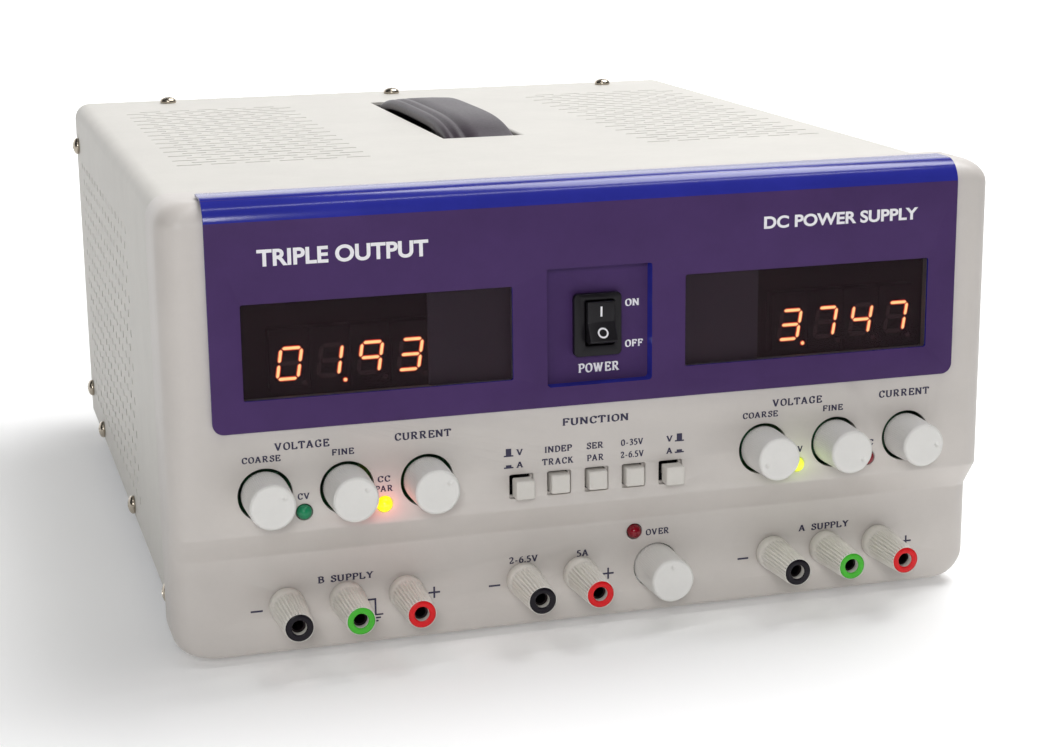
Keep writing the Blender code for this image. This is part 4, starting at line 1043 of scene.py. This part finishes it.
# Strokes on a capital 8 units high, split by semicolons; ~ marks a smooth curve, o a closed one, _ a serif.
GLYPHS = {
    "A": "1,0 3.8,8; 3.8,8 6.6,0; 2,2.7 5.6,2.7; _1,0; _6.6,0",
    "B": "1.6,0 1.6,8; ~1.6,7.7 3.6,7.7 5.2,6.9 5.2,5.2 3.8,4.3 1.6,4.3; "
         "~1.6,4.3 4,4.3 5.7,3.3 5.7,1.3 4,.3 1.6,.3; _1.2,0; _1.2,8",
    "C": "~6.1,5.6 5.4,7.1 3.9,7.7 1.9,6.7 1.2,4 1.9,1.3 3.9,.3 5.4,.8 6.3,2.2; 6.1,5.2 6.1,7.9",
    "D": "1.6,0 1.6,8; ~1.6,7.7 3.8,7.6 5.8,6.4 6.4,4 5.8,1.6 3.8,.4 1.6,.3; _1.2,0; _1.2,8",
    "E": "1.6,0 1.6,8; 1,7.7 5.8,7.7; 1.6,4.1 4.4,4.1; 1,.3 6.1,.3; 5.8,7.9 5.8,6; 6.1,.1 6.1,2.2; "
         "4.4,3.1 4.4,5.1",
    "F": "1.6,0 1.6,8; 1,7.7 5.8,7.7; 1.6,4.1 4.4,4.1; 5.8,7.9 5.8,6; 4.4,3.1 4.4,5.1; _1.6,0",
    "G": "~6.1,5.6 5.4,7.1 3.9,7.7 1.9,6.7 1.2,4 1.9,1.3 3.9,.3 5.2,.5 6.1,1.2; 6.1,.6 6.1,3.4; _6.1,3.6; "
         "6.1,5.2 6.1,7.9",
    "I": "1.7,0 1.7,8; _1.7,0; _1.7,8",
    "K": "1.6,0 1.6,8; 1.6,3.3 5.8,8; 3.2,5 6.4,0; _1.6,0; _1.6,8; _5.6,8; _6.3,0",
    "L": "1.6,0 1.6,8; 1,.3 5.9,.3; 5.9,.1 5.9,2.4; _1.6,8",
    "N": "1.4,0 1.4,8; 1.4,7.8 6.4,.4; 6.4,0 6.4,8; _1.4,0; _1.2,8; _6.4,8",
    "O": "o3.9,7.7 6.1,6.6 6.7,4 6.1,1.4 3.9,.3 1.7,1.4 1.1,4 1.7,6.6",
    "P": "1.6,0 1.6,8; ~1.6,7.7 3.8,7.7 5.5,6.9 5.5,4.7 3.8,3.8 1.6,3.8; _1.6,0; _1.2,8",
    "R": "1.6,0 1.6,8; ~1.6,7.7 3.8,7.7 5.4,6.9 5.4,4.9 3.8,4.1 1.6,4.1; 3.4,4.1 6.2,0; _1.6,0; _1.2,8; "
         "_6.4,0",
    "S": "~5.2,6.1 4.4,7.4 3.1,7.7 1.6,6.9 1.7,5.3 3.2,4.4 4.9,3.3 5.2,1.6 3.7,.3 2.2,.4 1.1,1.9; "
         "5.2,5.6 5.2,7.9; 1.1,.1 1.1,2.4",
    "T": "3.6,0 3.6,8; .6,7.7 6.6,7.7; .7,7.9 .7,5.9; 6.5,7.9 6.5,5.9; _3.6,0",
    "U": "~1.5,8 1.5,2.6 2.3,.8 3.9,.3 5.5,.8 6.2,2.6 6.2,8; _1.5,8; _6.2,8",
    "V": "1.1,8 3.9,0; 3.9,0 6.6,8; _1.1,8; _6.6,8",
    "W": "1.1,8 3.3,0; 3.3,0 5.2,7.4; 5.2,7.4 7.1,0; 7.1,0 9.2,8; _1.1,8; _5,8; _9.2,8",
    "Y": "1.1,8 3.8,3.9; 3.8,3.9 6.5,8; 3.8,0 3.8,4.2; _1.1,8; _6.5,8; _3.8,0",
    "0": "o3,7.7 4.7,6.6 5.2,4 4.7,1.4 3,.3 1.3,1.4 .8,4 1.3,6.6",
    "2": "~1,6 1.6,7.3 3,7.7 4.6,6.7 4.4,4.9 2.8,2.8 1,.7; .9,.4 5,.4; 5,.2 5.2,1.9",
    "3": "~1,6.6 2.4,7.7 4.2,7 4.2,5.2 2.6,4.3; ~2.2,4.3 4.2,3.7 4.9,2.3 4.2,.7 2.4,.3 1,.9",
    "5": "4.8,7.6 1.8,7.6; 1.8,7.8 1.4,4.3; ~1.4,4.3 3.2,4.6 4.8,3.2 4.4,1.2 2.6,.2 1,.8",
    "6": "~4.9,7.7 2.8,6.8 1.3,4.6 1,2.4; o3.1,4.7 4.6,4 5,2.5 4.5,.9 3.1,.3 1.6,.9 1.1,2.5 1.6,4",
    "-": "1,2.9 3.8,2.9",
    ".": "1.2,.1 1.2,1.3",
}
GLYPH_GAP = 1.15
WORD_SPACE = 3.0
PEN_THIN, PEN_THICK = 0.85, 2.0
SERIF_HALF, SERIF_PEN = 1.35, 0.55


def stroke_polygons(points, closed=False, pen=None):
    """A pen line as one four-sided polygon per step; a broad nib makes uprights thick and levels thin."""
    count = len(points)
    ends = [Vector(point) for point in points]
    steps = [(ends[i], ends[(i + 1) % count]) for i in range(count if closed else count - 1)]
    steps = [(a, b) for a, b in steps if (b - a).length > 1e-6]

    def half(way):
        return (pen or PEN_THIN + (PEN_THICK - PEN_THIN) * abs(sin(atan2(way.y, way.x) - radians(20)))) / 2
    offsets = []
    for k in range(len(steps) + (0 if closed else 1)):
        before = steps[k - 1] if k or closed else steps[0]
        after = steps[k] if k < len(steps) else steps[-1]
        way = (before[1] - before[0]).normalized() + (after[1] - after[0]).normalized()
        way = way.normalized() if way.length > 1e-6 else (after[1] - after[0]).normalized()
        offsets.append(Vector((-way.y, way.x)) * half(way))
    polygons = []
    for k, (a, b) in enumerate(steps):
        first, last = offsets[k], offsets[(k + 1) % len(offsets)]
        polygons.append([tuple(a - first), tuple(b - last), tuple(b + last), tuple(a + first)])
    return polygons


def glyph_polygons(letter):
    """Polygons and advance width of one letter, in glyph units."""
    polygons, right = [], 0
    for stroke in GLYPHS[letter].split(";"):
        stroke = stroke.strip()
        kind = stroke[0] if stroke[0] in "~o_" else ""
        points = [tuple(float(n) for n in pair.split(",")) for pair in stroke[len(kind):].split()]
        if kind == "_":
            x, z = points[0]
            z += SERIF_PEN / 2 if z == 0 else -SERIF_PEN / 2
            polygons += stroke_polygons([(x - SERIF_HALF, z), (x + SERIF_HALF, z)], pen=SERIF_PEN)
            right = max(right, x + SERIF_HALF)
            continue
        right = max(right, max(x for x, _ in points) + 0.5)
        if kind:
            points = smooth_line(points, 5, kind == "o")
        polygons += stroke_polygons(points, kind == "o")
    return polygons, right


def word_polygons(text, centre, base, height, width=None, spacing=0.0):
    """A line of lettering: centred, cap height as given, squeezed or letterspaced to a width."""
    unit = height / 8
    places, x = [], 0
    for letter in text:
        if letter == " ":
            x += WORD_SPACE + spacing
            continue
        polygons, advance = glyph_polygons(letter)
        places.append((polygons, x))
        x += advance + GLYPH_GAP + spacing
    total = x - GLYPH_GAP - spacing
    squeeze = width / (total * unit) if width else 1
    start = centre - total * unit * squeeze / 2
    return [[(start + (px + left) * unit * squeeze, base + pz * unit) for px, pz in polygon]
            for polygons, left in places for polygon in polygons]


def on_plane(depth, lift=0.05):
    """Front and buried faces of a print on a face at that depth."""
    return lambda x, z: (x, depth - lift, z), lambda x, z: (x, depth + 0.03, z)


def print_piece(name, groups, look):
    """One printed colour: groups are (polygons, depth)."""
    def maker(bm):
        for polygons, depth in groups:
            slab(bm, *region(polygons), *on_plane(depth))
    piece(name, maker, look, "bezel_enamel", sharp=60)


UPPER_LABELS = [  # text, left, right, baseline, cap height
    ("VOLTAGE", -103.4, -86.6, 70.7, 2.3), ("COARSE", -113.5, -101.7, 67.4, 1.9),
    ("FINE", -85.9, -79.0, 67.6, 1.9), ("CURRENT", -66.2, -48.3, 70.5, 2.3),
    ("CV", -96.9, -93.1, 54.6, 1.9), ("CC", -71.9, -67.9, 57.7, 1.9), ("PAR", -72.7, -67.1, 54.6, 1.9),
    ("FUNCTION", -12.2, 9.8, 70.5, 2.3),
    ("V", -27.3, -25.1, 62.3, 1.9), ("A", -27.3, -25.1, 58.2, 1.9),
    ("INDEP", -18.1, -9.2, 62.2, 2.0), ("TRACK", -18.9, -8.6, 58.2, 2.0),
    ("SER", -4.2, 1.4, 62.2, 2.0), ("PAR", -4.1, 1.5, 58.2, 2.0),
    ("0-35V", 7.3, 14.8, 62.2, 2.0), ("2-6.5V", 7.1, 15.0, 58.2, 2.0),
    ("V", 22.6, 24.8, 62.2, 1.9), ("A", 22.6, 24.7, 58.2, 1.9),
    ("VOLTAGE", 59.0, 76.3, 70.7, 2.3), ("COARSE", 48.7, 60.9, 67.4, 1.9),
    ("FINE", 76.7, 83.8, 67.6, 1.9), ("CURRENT", 96.6, 114.7, 70.5, 2.3),
    ("CV", 66.2, 70.0, 54.7, 1.9), ("CC", 91.1, 95.1, 54.7, 1.9),
]
LOWER_LABELS = [
    ("B  SUPPLY", -90.3, -72.5, 24.6, 2.1), ("A  SUPPLY", 72.2, 90.4, 24.9, 2.1),
    ("2-6.5V", -28.2, -18.5, 24.3, 2.1), ("5A", -5.5, -1.4, 24.3, 2.1), ("OVER", 18.2, 26.3, 29.1, 2.0),
]
MINUS_X, PLUS_X, POLARITY_Z = (-109.8, -33.1, 52.4), (-53.0, 5.3, 111.7), 17.5
WELL_LABELS = [("POWER", -5.8, 7.8, 86.4, 2.8), ("ON", 9.7, 14.4, 106.8, 2.2), ("OFF", 9.7, 15.6, 93.6, 2.2)]


def bar(x0, x1, z0, z1):
    return [(x0, z0), (x1, z0), (x1, z1), (x0, z1)]


def words(labels):
    found = []
    for text, left, right, base, height in labels:
        found += word_polygons(text, (left + right) / 2, base, height, right - left)
    return found


def button_signs():
    """Small pictures of a raised and a pressed button beside the two outer ones."""
    found = []
    for left in (-31.4, 25.5):
        for base, tall in ((62.0, 2.6), (58.2, 1.1)):
            found.append(bar(left, left + 3.1, base, base + 0.45))
            found.append(bar(left + 0.65, left + 2.45, base + 0.45, base + tall))
    return found


def polarity_signs():
    found = [bar(x - 1.9, x + 1.9, POLARITY_Z - 0.3, POLARITY_Z + 0.3) for x in MINUS_X + PLUS_X]
    found += [bar(x - 0.3, x + 0.3, POLARITY_Z - 1.9, POLARITY_Z + 1.9) for x in PLUS_X]
    return found


def ground_sign():
    """Earth symbol to the right of the green post, its upright running up beside it."""
    x, top, low = -72.2, 17.7, 12.2
    found = [bar(x - 0.25, x + 0.35, low, top), bar(x - 2.4, x + 0.35, top - 0.6, top)]
    found += [bar(x - half, x + half, low - 0.25 - drop, low + 0.25 - drop)
              for half, drop in ((2.5, 0), (1.7, 1.05), (0.9, 2.1))]
    return found


def sans_text(name, text, left, right, base, height, depth):
    """A line in the plain sans face that ships with Blender, as thin raised print."""
    curve = bpy.data.curves.new(name, "FONT")
    curve.body = text
    curve.offset = 0.030
    curve.extrude = 0.02
    maker = bpy.data.objects.new(name + "_text", curve)
    bpy.context.scene.collection.objects.link(maker)
    bpy.context.view_layer.update()
    mesh = bpy.data.meshes.new_from_object(maker.evaluated_get(bpy.context.evaluated_depsgraph_get()))
    bpy.data.objects.remove(maker)
    xs = [v.co.x for v in mesh.vertices]
    zs = [v.co.y for v in mesh.vertices]
    wide, tall = (right - left) / (max(xs) - min(xs)), height / (max(zs) - min(zs))
    for v in mesh.vertices:
        x, z, lift = v.co
        v.co = (left + (x - min(xs)) * wide, depth - 0.01 - lift * 2, base + (z - min(zs)) * tall)
    mesh.flip_normals()
    made = bpy.data.objects.new(name, mesh)
    bpy.context.scene.collection.objects.link(made)
    bm = bmesh.new()
    bm.from_mesh(mesh)
    bmesh.ops.remove_doubles(bm, verts=bm.verts, dist=1e-4)
    bmesh.ops.recalc_face_normals(bm, faces=bm.faces)
    bm.to_mesh(mesh)
    bm.free()
    settle(made, "white_print", "fascia_blue", sharp=60)


def make_lettering():
    upper = words(UPPER_LABELS) + button_signs()
    lower = words(LOWER_LABELS) + polarity_signs() + ground_sign()
    print_piece("panel_print", [(upper, 0.0), (lower, LOWER_FACE)], "navy_print")
    print_piece("well_print", [(words(WELL_LABELS), WELL_FLOOR)], "white_print")
    front = FASCIA_LOW.y
    sans_text("title_print", "DC POWER SUPPLY", 54.5, 107.9, 129.3, 4.0, front)
    sans_text("output_print", "TRIPLE OUTPUT", -106.6, -54.5, 127.6, 5.2, front)


# ---------------------------------------------------------------- cover

SIDE_HOLE_RADIUS = 1.5
SIDE_HOLE_PITCH, SIDE_ROW_PITCH = 11.0, 6.1
SIDE_HOLES = ((118, 286), (23, 123))  # depths and heights of the side vents
TOP_SLOT_HALF, TOP_SLOT_WIDE = 4.35, 1.0
TOP_SLOT_PITCH, TOP_ROW_PITCH = 11.7, 5.9
TOP_SLOTS = ((50.7, 118), (103, 261))
TOP_SHIFT = 2.0
COVER_SIDE = COVER_HIGH.z - COVER_LOW.z - COVER_BEND
COVER_ARC = 0.5 * pi * COVER_BEND
COVER_FLAT = 2 * (COVER_HALF - COVER_BEND)
REAR_SCREW_DEPTH = 293.5
TOP_SCREWS = [(x, REAR_SCREW_DEPTH) for x in (-94.3, 2.7, 99.7)]
SIDE_SCREWS = [(40, 15.2), (140, 15.2), (250, 15.2), (REAR_SCREW_DEPTH, 22.6), (REAR_SCREW_DEPTH, 127.5)]
SCREW_HOLE = 2.3


def cover_point(u, depth, inset):
    """Place on the folded sheet: u runs up the left side, over the top and down the right side."""
    bend = COVER_BEND - inset
    half, top = COVER_HALF, COVER_HIGH.z
    if u > COVER_SIDE + COVER_ARC + COVER_FLAT / 2:
        x, y, z = cover_point(2 * (COVER_SIDE + COVER_ARC) + COVER_FLAT - u, depth, inset)
        return -x, y, z
    if u < COVER_SIDE:
        return -half + inset, depth, COVER_LOW.z + u
    if u < COVER_SIDE + COVER_ARC:
        a = (u - COVER_SIDE) / COVER_BEND
        return -half + COVER_BEND - bend * cos(a), depth, top - COVER_BEND + bend * sin(a)
    return -half + COVER_BEND + u - COVER_SIDE - COVER_ARC, depth, top - inset


def top_u(x):
    return COVER_SIDE + COVER_ARC + COVER_FLAT / 2 + x


def circle(u, depth, radius, steps=12):
    return [(u + radius * cos(a), depth + radius * sin(a)) for a in full_turn(steps)]


def staggered(first, last, pitch, row_pitch, start, end):
    """Places of a staggered grid: rows row_pitch apart, every other one shifted by half a pitch."""
    rows = int((end - start) / row_pitch + 0.5)
    for r in range(rows + 1):
        shift = pitch / 2 if r % 2 else 0
        count = int((last - first - shift) / pitch + 1e-6) + 1
        for c in range(count):
            yield first + shift + c * pitch, start + r * row_pitch


def cover_holes():
    """Outlines of every hole in the unfolded sheet."""
    total = 2 * (COVER_SIDE + COVER_ARC) + COVER_FLAT
    holes = []
    (d0, d1), (z0, z1) = SIDE_HOLES
    for depth, z in staggered(d0, d1, SIDE_HOLE_PITCH, SIDE_ROW_PITCH, z0, z1):
        u = z - COVER_LOW.z
        holes += [circle(u, depth, SIDE_HOLE_RADIUS), circle(total - u, depth, SIDE_HOLE_RADIUS)]
    (x0, x1), (d0, d1) = TOP_SLOTS
    for x, depth in staggered(x0 + TOP_SLOT_HALF, x1 - TOP_SLOT_HALF, TOP_SLOT_PITCH, TOP_ROW_PITCH, d0, d1):
        for side in SIDES.values():
            centre, r = top_u(side * x + TOP_SHIFT), TOP_SLOT_WIDE / 2
            half = TOP_SLOT_HALF - r
            holes.append(arc(centre + half, depth, r, -90, 90, 4) + arc(centre - half, depth, r, 90, 270, 4))
    holes += [circle(top_u(x), depth, SCREW_HOLE) for x, depth in TOP_SCREWS]
    for depth, z in SIDE_SCREWS:
        u = z - COVER_LOW.z
        holes += [circle(u, depth, SCREW_HOLE), circle(total - u, depth, SCREW_HOLE)]
    wide = SLOT_HALF + COVER_SHEET
    holes.append(rounded(top_u(SLOT_X - wide), top_u(SLOT_X + wide), SLOT_FRONT, SLOT_BACK, 0.8, 4))
    return holes


def make_cover():
    total = 2 * (COVER_SIDE + COVER_ARC) + COVER_FLAT
    front, back = COVER_LOW.y, COVER_HIGH.y
    sheet = [(0, front), (total, front), (total, back), (0, back)]
    bends = [COVER_SIDE + COVER_ARC * i / 6 for i in range(7)]
    bends += [total - u for u in bends]
    lines = [((u, front), (u, back)) for u in bends]
    flat, triangles = region([sheet], cover_holes(), lines)

    def maker(bm):
        outside, inside = [lambda u, d, inset=inset: cover_point(u, d, inset) for inset in (0, COVER_SHEET)]
        slab(bm, flat, triangles, outside, inside)
    piece("cover_sheet", maker, "cover", "cover_enamel", "top_cover", sharp=40)

    def lips(bm):
        """Flange folded down along each long side of the strap's slot."""
        top, thick = COVER_HIGH.z, COVER_SHEET
        section = [(thick * (1 - sin(a)), -thick * (1 - cos(a))) for a in quarter(5)]
        section += [(0.0, -SLOT_LIP), (thick, -SLOT_LIP)]
        for side in SIDES.values():
            outline = [(SLOT_X + side * (SLOT_HALF + grow), top + drop) for grow, drop in section]
            prism(bm, outline, "Y", SLOT_FRONT + 0.3, SLOT_BACK - 0.3)
    piece("cover_slot_lips", lips, "cover", "cover_enamel", "top_cover", sharp=60)


# ---------------------------------------------------------------- screws

def make_screw_head():
    """Pan head with a cross recess, its seat at z = 0 and pointing up, in millimetres."""
    radius, height = 3.4, 2.5
    profile = [(0.2, height)]
    profile += [(radius * cos(a), 0.7 + (height - 0.7) * sin(a)) for a in reversed(quarter(8)[:-1])]
    profile += [(radius - 0.15, 0.05), (1.9, 0.0), (1.9, -5.4), (1.4, -5.8)]
    head = raw_object("screw_pattern", lambda bm: turned(bm, profile, 32, "Z"))

    def cross(bm):
        for half_x, half_y in ((1.55, 0.36), (0.36, 1.55)):
            loft(bm, [[(sx * half_x * k, sy * half_y * (1 if k == 1 else 0.75), z) for sx, sy in
                       ((-1, -1), (1, -1), (1, 1), (-1, 1))] for k, z in ((0.45, 1.1), (1, 3.0))])
    combine(head, cross)
    return head


def make_screws():
    pattern = make_screw_head()
    groups = {
        "top": ("top_cover_screws", [((x, d, COVER_HIGH.z), "top") for x, d in TOP_SCREWS]),
        "left": ("left_cover_screws", [((-COVER_HALF, d, z), "left") for d, z in SIDE_SCREWS]),
        "right": ("right_cover_screws", [((COVER_HALF, d, z), "right") for d, z in SIDE_SCREWS]),
    }
    turns = {"top": Matrix.Identity(4), "left": Matrix.Rotation(-pi / 2, 4, "Y"),
             "right": Matrix.Rotation(pi / 2, 4, "Y")}
    for word, (cad_node, places) in groups.items():
        for i, (place, kind) in enumerate(places):
            screw = bpy.data.objects.new(f"screw_{word}_{i + 1}", pattern.data.copy())
            bpy.context.scene.collection.objects.link(screw)
            spin = Matrix.Rotation(radians(25 + 53 * i), 4, "Z")
            screw.data.transform(Matrix.Translation(place) @ turns[kind] @ spin)
            settle(screw, "screw", "screw_nickel", cad_node, sharp=35)
    bpy.data.objects.remove(pattern)
    strip_low = corners("top_cover_screws")[0].z

    def top_strip(bm):
        block(bm, (-104, REAR_SCREW_DEPTH - 4, strip_low), (104, REAR_SCREW_DEPTH + 4, strip_low + 2))
    piece("screw_strip_top", top_strip, "zinc", "zinc_steel", "top_cover_screws", bevel=0.3)
    for word, side in SIDES.items():
        outer = COVER_HALF - COVER_SHEET - 1.5 - 0.9
        xs = across(side, outer, outer - 2)
        outline = [(34, 11.7), (297.5, 11.7), (297.5, 132), (289.5, 132), (289.5, 18.7), (34, 18.7)]
        piece("screw_strip_" + word, lambda bm: prism(bm, outline, "X", *xs), "zinc", "zinc_steel",
              word + "_cover_screws", bevel=0.3)


# ---------------------------------------------------------------- carrying strap

STRAP_HALF = 13.2
STRAP_THICK = 4.5
STRAP_EDGE, STRAP_FOOT_EDGE = 1.7, 0.7
STRAP_GROOVES = (-9.9, -5.6)
GROOVE = ((-1.0, 0.0), (-0.5, 0.55), (0.0, 0.7), (0.5, 0.55), (1.0, 0.0))  # across and down
STRAP_END_DROP = 10.0  # the ends lie this far under the top of the cover


def make_strap():
    low, high = corners("carrying_strap")
    centre, half_length = (low.y + high.y) / 2, (high.y - low.y) / 2
    crown = high.z
    drop = crown - (COVER_HIGH.z - STRAP_END_DROP)

    def crest(t):
        return crown - drop * t ** 4

    def section():
        """Cross-section with rounded edges and two lengthwise grooves near its left edge."""
        shoulder, foot = STRAP_HALF - STRAP_EDGE, STRAP_HALF - STRAP_FOOT_EDGE
        flats = [(-shoulder, 0.0)]
        for groove in STRAP_GROOVES:
            flats += [(groove + x, dip) for x, dip in GROOVE]
        flats += [(0.0, 0.0), (5.0, 0.0), (shoulder, 0.0)]
        top = [(x, -dip - 0.5 * (x / STRAP_HALF) ** 2) for x, dip in flats]
        right = [(shoulder + STRAP_EDGE * sin(a), -0.38 - STRAP_EDGE + STRAP_EDGE * cos(a))
                 for a in quarter(5, 1)]
        right += [(foot + STRAP_FOOT_EDGE * cos(a), STRAP_FOOT_EDGE - STRAP_THICK - STRAP_FOOT_EDGE * sin(a))
                  for a in quarter(3)]
        return top + right + [(-x, z) for x, z in reversed(right)]

    def band(bm):
        steps = 48
        places = [-1 + 2 * i / steps for i in range(steps + 1)]
        loft(bm, [[(SLOT_X + x, centre + half_length * t, crest(t) + z) for x, z in section()]
                  for t in places])

    def keepers(bm):
        for end in (-1, 1):
            ys = sorted((centre + end * half_length, centre + end * (half_length - 3)))
            block(bm, (SLOT_X - STRAP_HALF, ys[0] + 0.02, low.z),
                  (SLOT_X + STRAP_HALF, ys[1] - 0.02, crest(1) - 1.2))

    name = "carrying_strap"
    piece("strap_band", band, "strap", "strap_black", name, body=name, sharp=50)
    piece("strap_keepers", keepers, "strap", "strap_black", name, body=name, bevel=0.6)


# ---------------------------------------------------------------- rear, feet and inside

def make_foot(name):
    low, high = corners(name)
    c = (low + high) / 2
    radius, top = (high.x - low.x) / 2, high.z

    def rubber(bm):
        profile = [(2.4, 3.4), (2.4, 2.6), (3.6, 2.6), (3.8, 2.4), (3.8, 0.5), (4.1, 0.15), (4.6, 0.0),
                   (radius - 1.6, 0.0), (radius - 1.0, 0.25), (radius - 0.8, 0.8), (radius, top - 0.8),
                   (radius - 0.3, top), (2.4, top)]
        tube(bm, [ring_points(r, z, 48, "Z", (c.x, c.y)) for r, z in profile])

    def screw(bm):
        profile = [(0.2, 0.9), (1.6, 1.0), (2.8, 1.5), (3.3, 2.2), (3.3, 2.6), (2.0, 2.6), (2.0, top + 3)]
        turned(bm, profile, 24, "Z", (c.x, c.y))

    piece(name + "_pad", rubber, "rubber", "foot_rubber", name, sharp=45)
    piece(name + "_screw", screw, "screw", "screw_nickel", name, sharp=35)


def dress(cad_node, look, edge):
    """A CAD node kept as it is, with its finish and rounded edges."""
    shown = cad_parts[cad_node]
    for holder in shown.material_slots:
        holder.material = LOOKS[look]
    if edge:
        soft_edge(shown, edge)


DRESSED = {  # finish and edge rounding in millimetres
    "rear_panel": ("cover", 0.3), "chassis_tray": ("zinc", 0.3), "rear_heat_sink": ("sink", 0.5),
    "mains_inlet": ("inlet", 0.3), "transformer": ("core", 0.6), "main_board": ("board", 0),
    "control_board": ("board", 0), "button_switch_bank": ("black", 0.3),
    "strap_bracket_front": ("zinc", 0.3), "strap_bracket_rear": ("zinc", 0.3),
}


def make_rear_and_inside():
    for name in BUTTONS:
        make_button(name)
    for cad_node, (look, edge) in DRESSED.items():
        dress(cad_node, look, edge)


# ---------------------------------------------------------------- floor, light and camera

def make_stage():
    """White sweep: a floor that curves up far behind."""
    size, rise, bend = 6.0, 3.0, 1.2
    far = 2.6
    profile = [(-size, 0.0), (far, 0.0)]
    profile += [(far + bend * sin(a), bend * (1 - cos(a))) for a in quarter(16, 1)]
    profile += [(far + bend, rise)]
    bm = bmesh.new()
    rows = [[bm.verts.new((x, y, z)) for y, z in profile] for x in (-size, size)]
    for a, b in zip(range(len(profile)), range(1, len(profile))):
        bm.faces.new((rows[0][a], rows[1][a], rows[1][b], rows[0][b]))
    bmesh.ops.recalc_face_normals(bm, faces=bm.faces)
    mesh = bpy.data.meshes.new("floor")
    bm.to_mesh(mesh)
    bm.free()
    floor = bpy.data.objects.new("floor", mesh)
    bpy.context.scene.collection.objects.link(floor)
    floor.data.shade_smooth()
    paper = plain_look("floor_paper", (0.88, 0.88, 0.88), 0.8, 0.004, 3, 200, specular=0.2)
    place = node(paper, "ShaderNodeTexCoord")
    away = node(paper, "ShaderNodeSeparateXYZ")
    link(paper, place.outputs["Object"], away.inputs["Vector"])
    glow = node(paper, "ShaderNodeMapRange")
    for socket, value in (("From Min", 0.4), ("From Max", 2.2), ("To Min", 0.15), ("To Max", 0.95)):
        glow.inputs[socket].default_value = value
    link(paper, away.outputs["Y"], glow.inputs["Value"])
    shader_of(paper).inputs["Emission Color"].default_value = (1, 1, 1, 1)
    link(paper, glow.outputs["Result"], shader_of(paper).inputs["Emission Strength"])
    floor.data.materials.append(paper)


def add_area(name, place, target, size, power, colour=(1, 1, 1)):
    light = bpy.data.lights.new(name, "AREA")
    light.shape = "RECTANGLE"
    light.size, light.size_y = size
    light.energy = power
    light.color = colour
    made = bpy.data.objects.new(name, light)
    made.location = place
    made.rotation_euler = (Vector(target) - Vector(place)).to_track_quat("-Z", "Y").to_euler()
    bpy.context.scene.collection.objects.link(made)


def add_glow(name, place, power, colour, radius=0.002):
    light = bpy.data.lights.new(name, "POINT")
    light.energy = power
    light.color = colour
    light.shadow_soft_size = radius
    made = bpy.data.objects.new(name, light)
    made.location = place
    bpy.context.scene.collection.objects.link(made)


def make_lights():
    world = bpy.data.worlds.new("studio")
    world.use_nodes = True
    sky = world.node_tree.nodes["Background"]
    sky.inputs["Color"].default_value = (1.0, 1.0, 1.0, 1)
    sky.inputs["Strength"].default_value = 0.06
    bpy.context.scene.world = world
    add_area("front", (-0.48, -1.65, 0.75), (0, 0, 0.08), (0.4, 0.4), 10)
    add_area("top", (0.75, 0.40, 1.75), (0, 0.05, 0.1), (1.2, 1.1), 35)
    add_area("strip", (0.1, -0.62, 1.5), (0, -0.1, 0.14), (2.2, 0.05), 6)
    for name, lamp, power, colour in (
            ("yellow_lamp_glow", "lamp_left_constant_current", 0.0011, (1.0, 0.10, 0.16)),
            ("lime_lamp_glow", "lamp_right_constant_voltage", 0.0004, (0.55, 1.0, 0.10))):
        lens = middle(lamp)
        add_glow(name, (lens.x * MM, FACE_Y - 0.0045, lens.z * MM), power, colour)


def make_camera():
    data = bpy.data.cameras.new("camera")
    data.sensor_width = 36
    data.lens = 72.78
    camera = bpy.data.objects.new("camera", data)
    right, up, ahead = (Vector(v) for v in
                        ((0.9588, -0.2840, -0.0109), (0.0780, 0.2258, 0.9710), (0.2734, 0.9318, -0.2387)))
    turn = Matrix((right, up, -ahead)).transposed().to_quaternion()
    camera.rotation_mode = "QUATERNION"
    camera.rotation_quaternion = turn
    camera.location = (-0.2043, FACE_Y - 0.6128, 0.2454)
    bpy.context.scene.collection.objects.link(camera)
    bpy.context.scene.camera = camera


make_bezel()
make_fascia()
for word in SIDES:
    make_display(word)
make_switch()
for knob in KNOBS + [TRIM_KNOB]:
    make_knob(knob)
for lamp in LAMP_LOOKS:
    make_lamp(lamp)
for post in POSTS:
    make_post(post)
make_lettering()
make_cover()
make_screws()
make_strap()
for foot in ("front_left", "front_right", "rear_left", "rear_right"):
    make_foot("foot_" + foot)
make_rear_and_inside()
make_stage()
make_lights()
make_camera()
bpy.context.scene.view_settings.view_transform = "Standard"
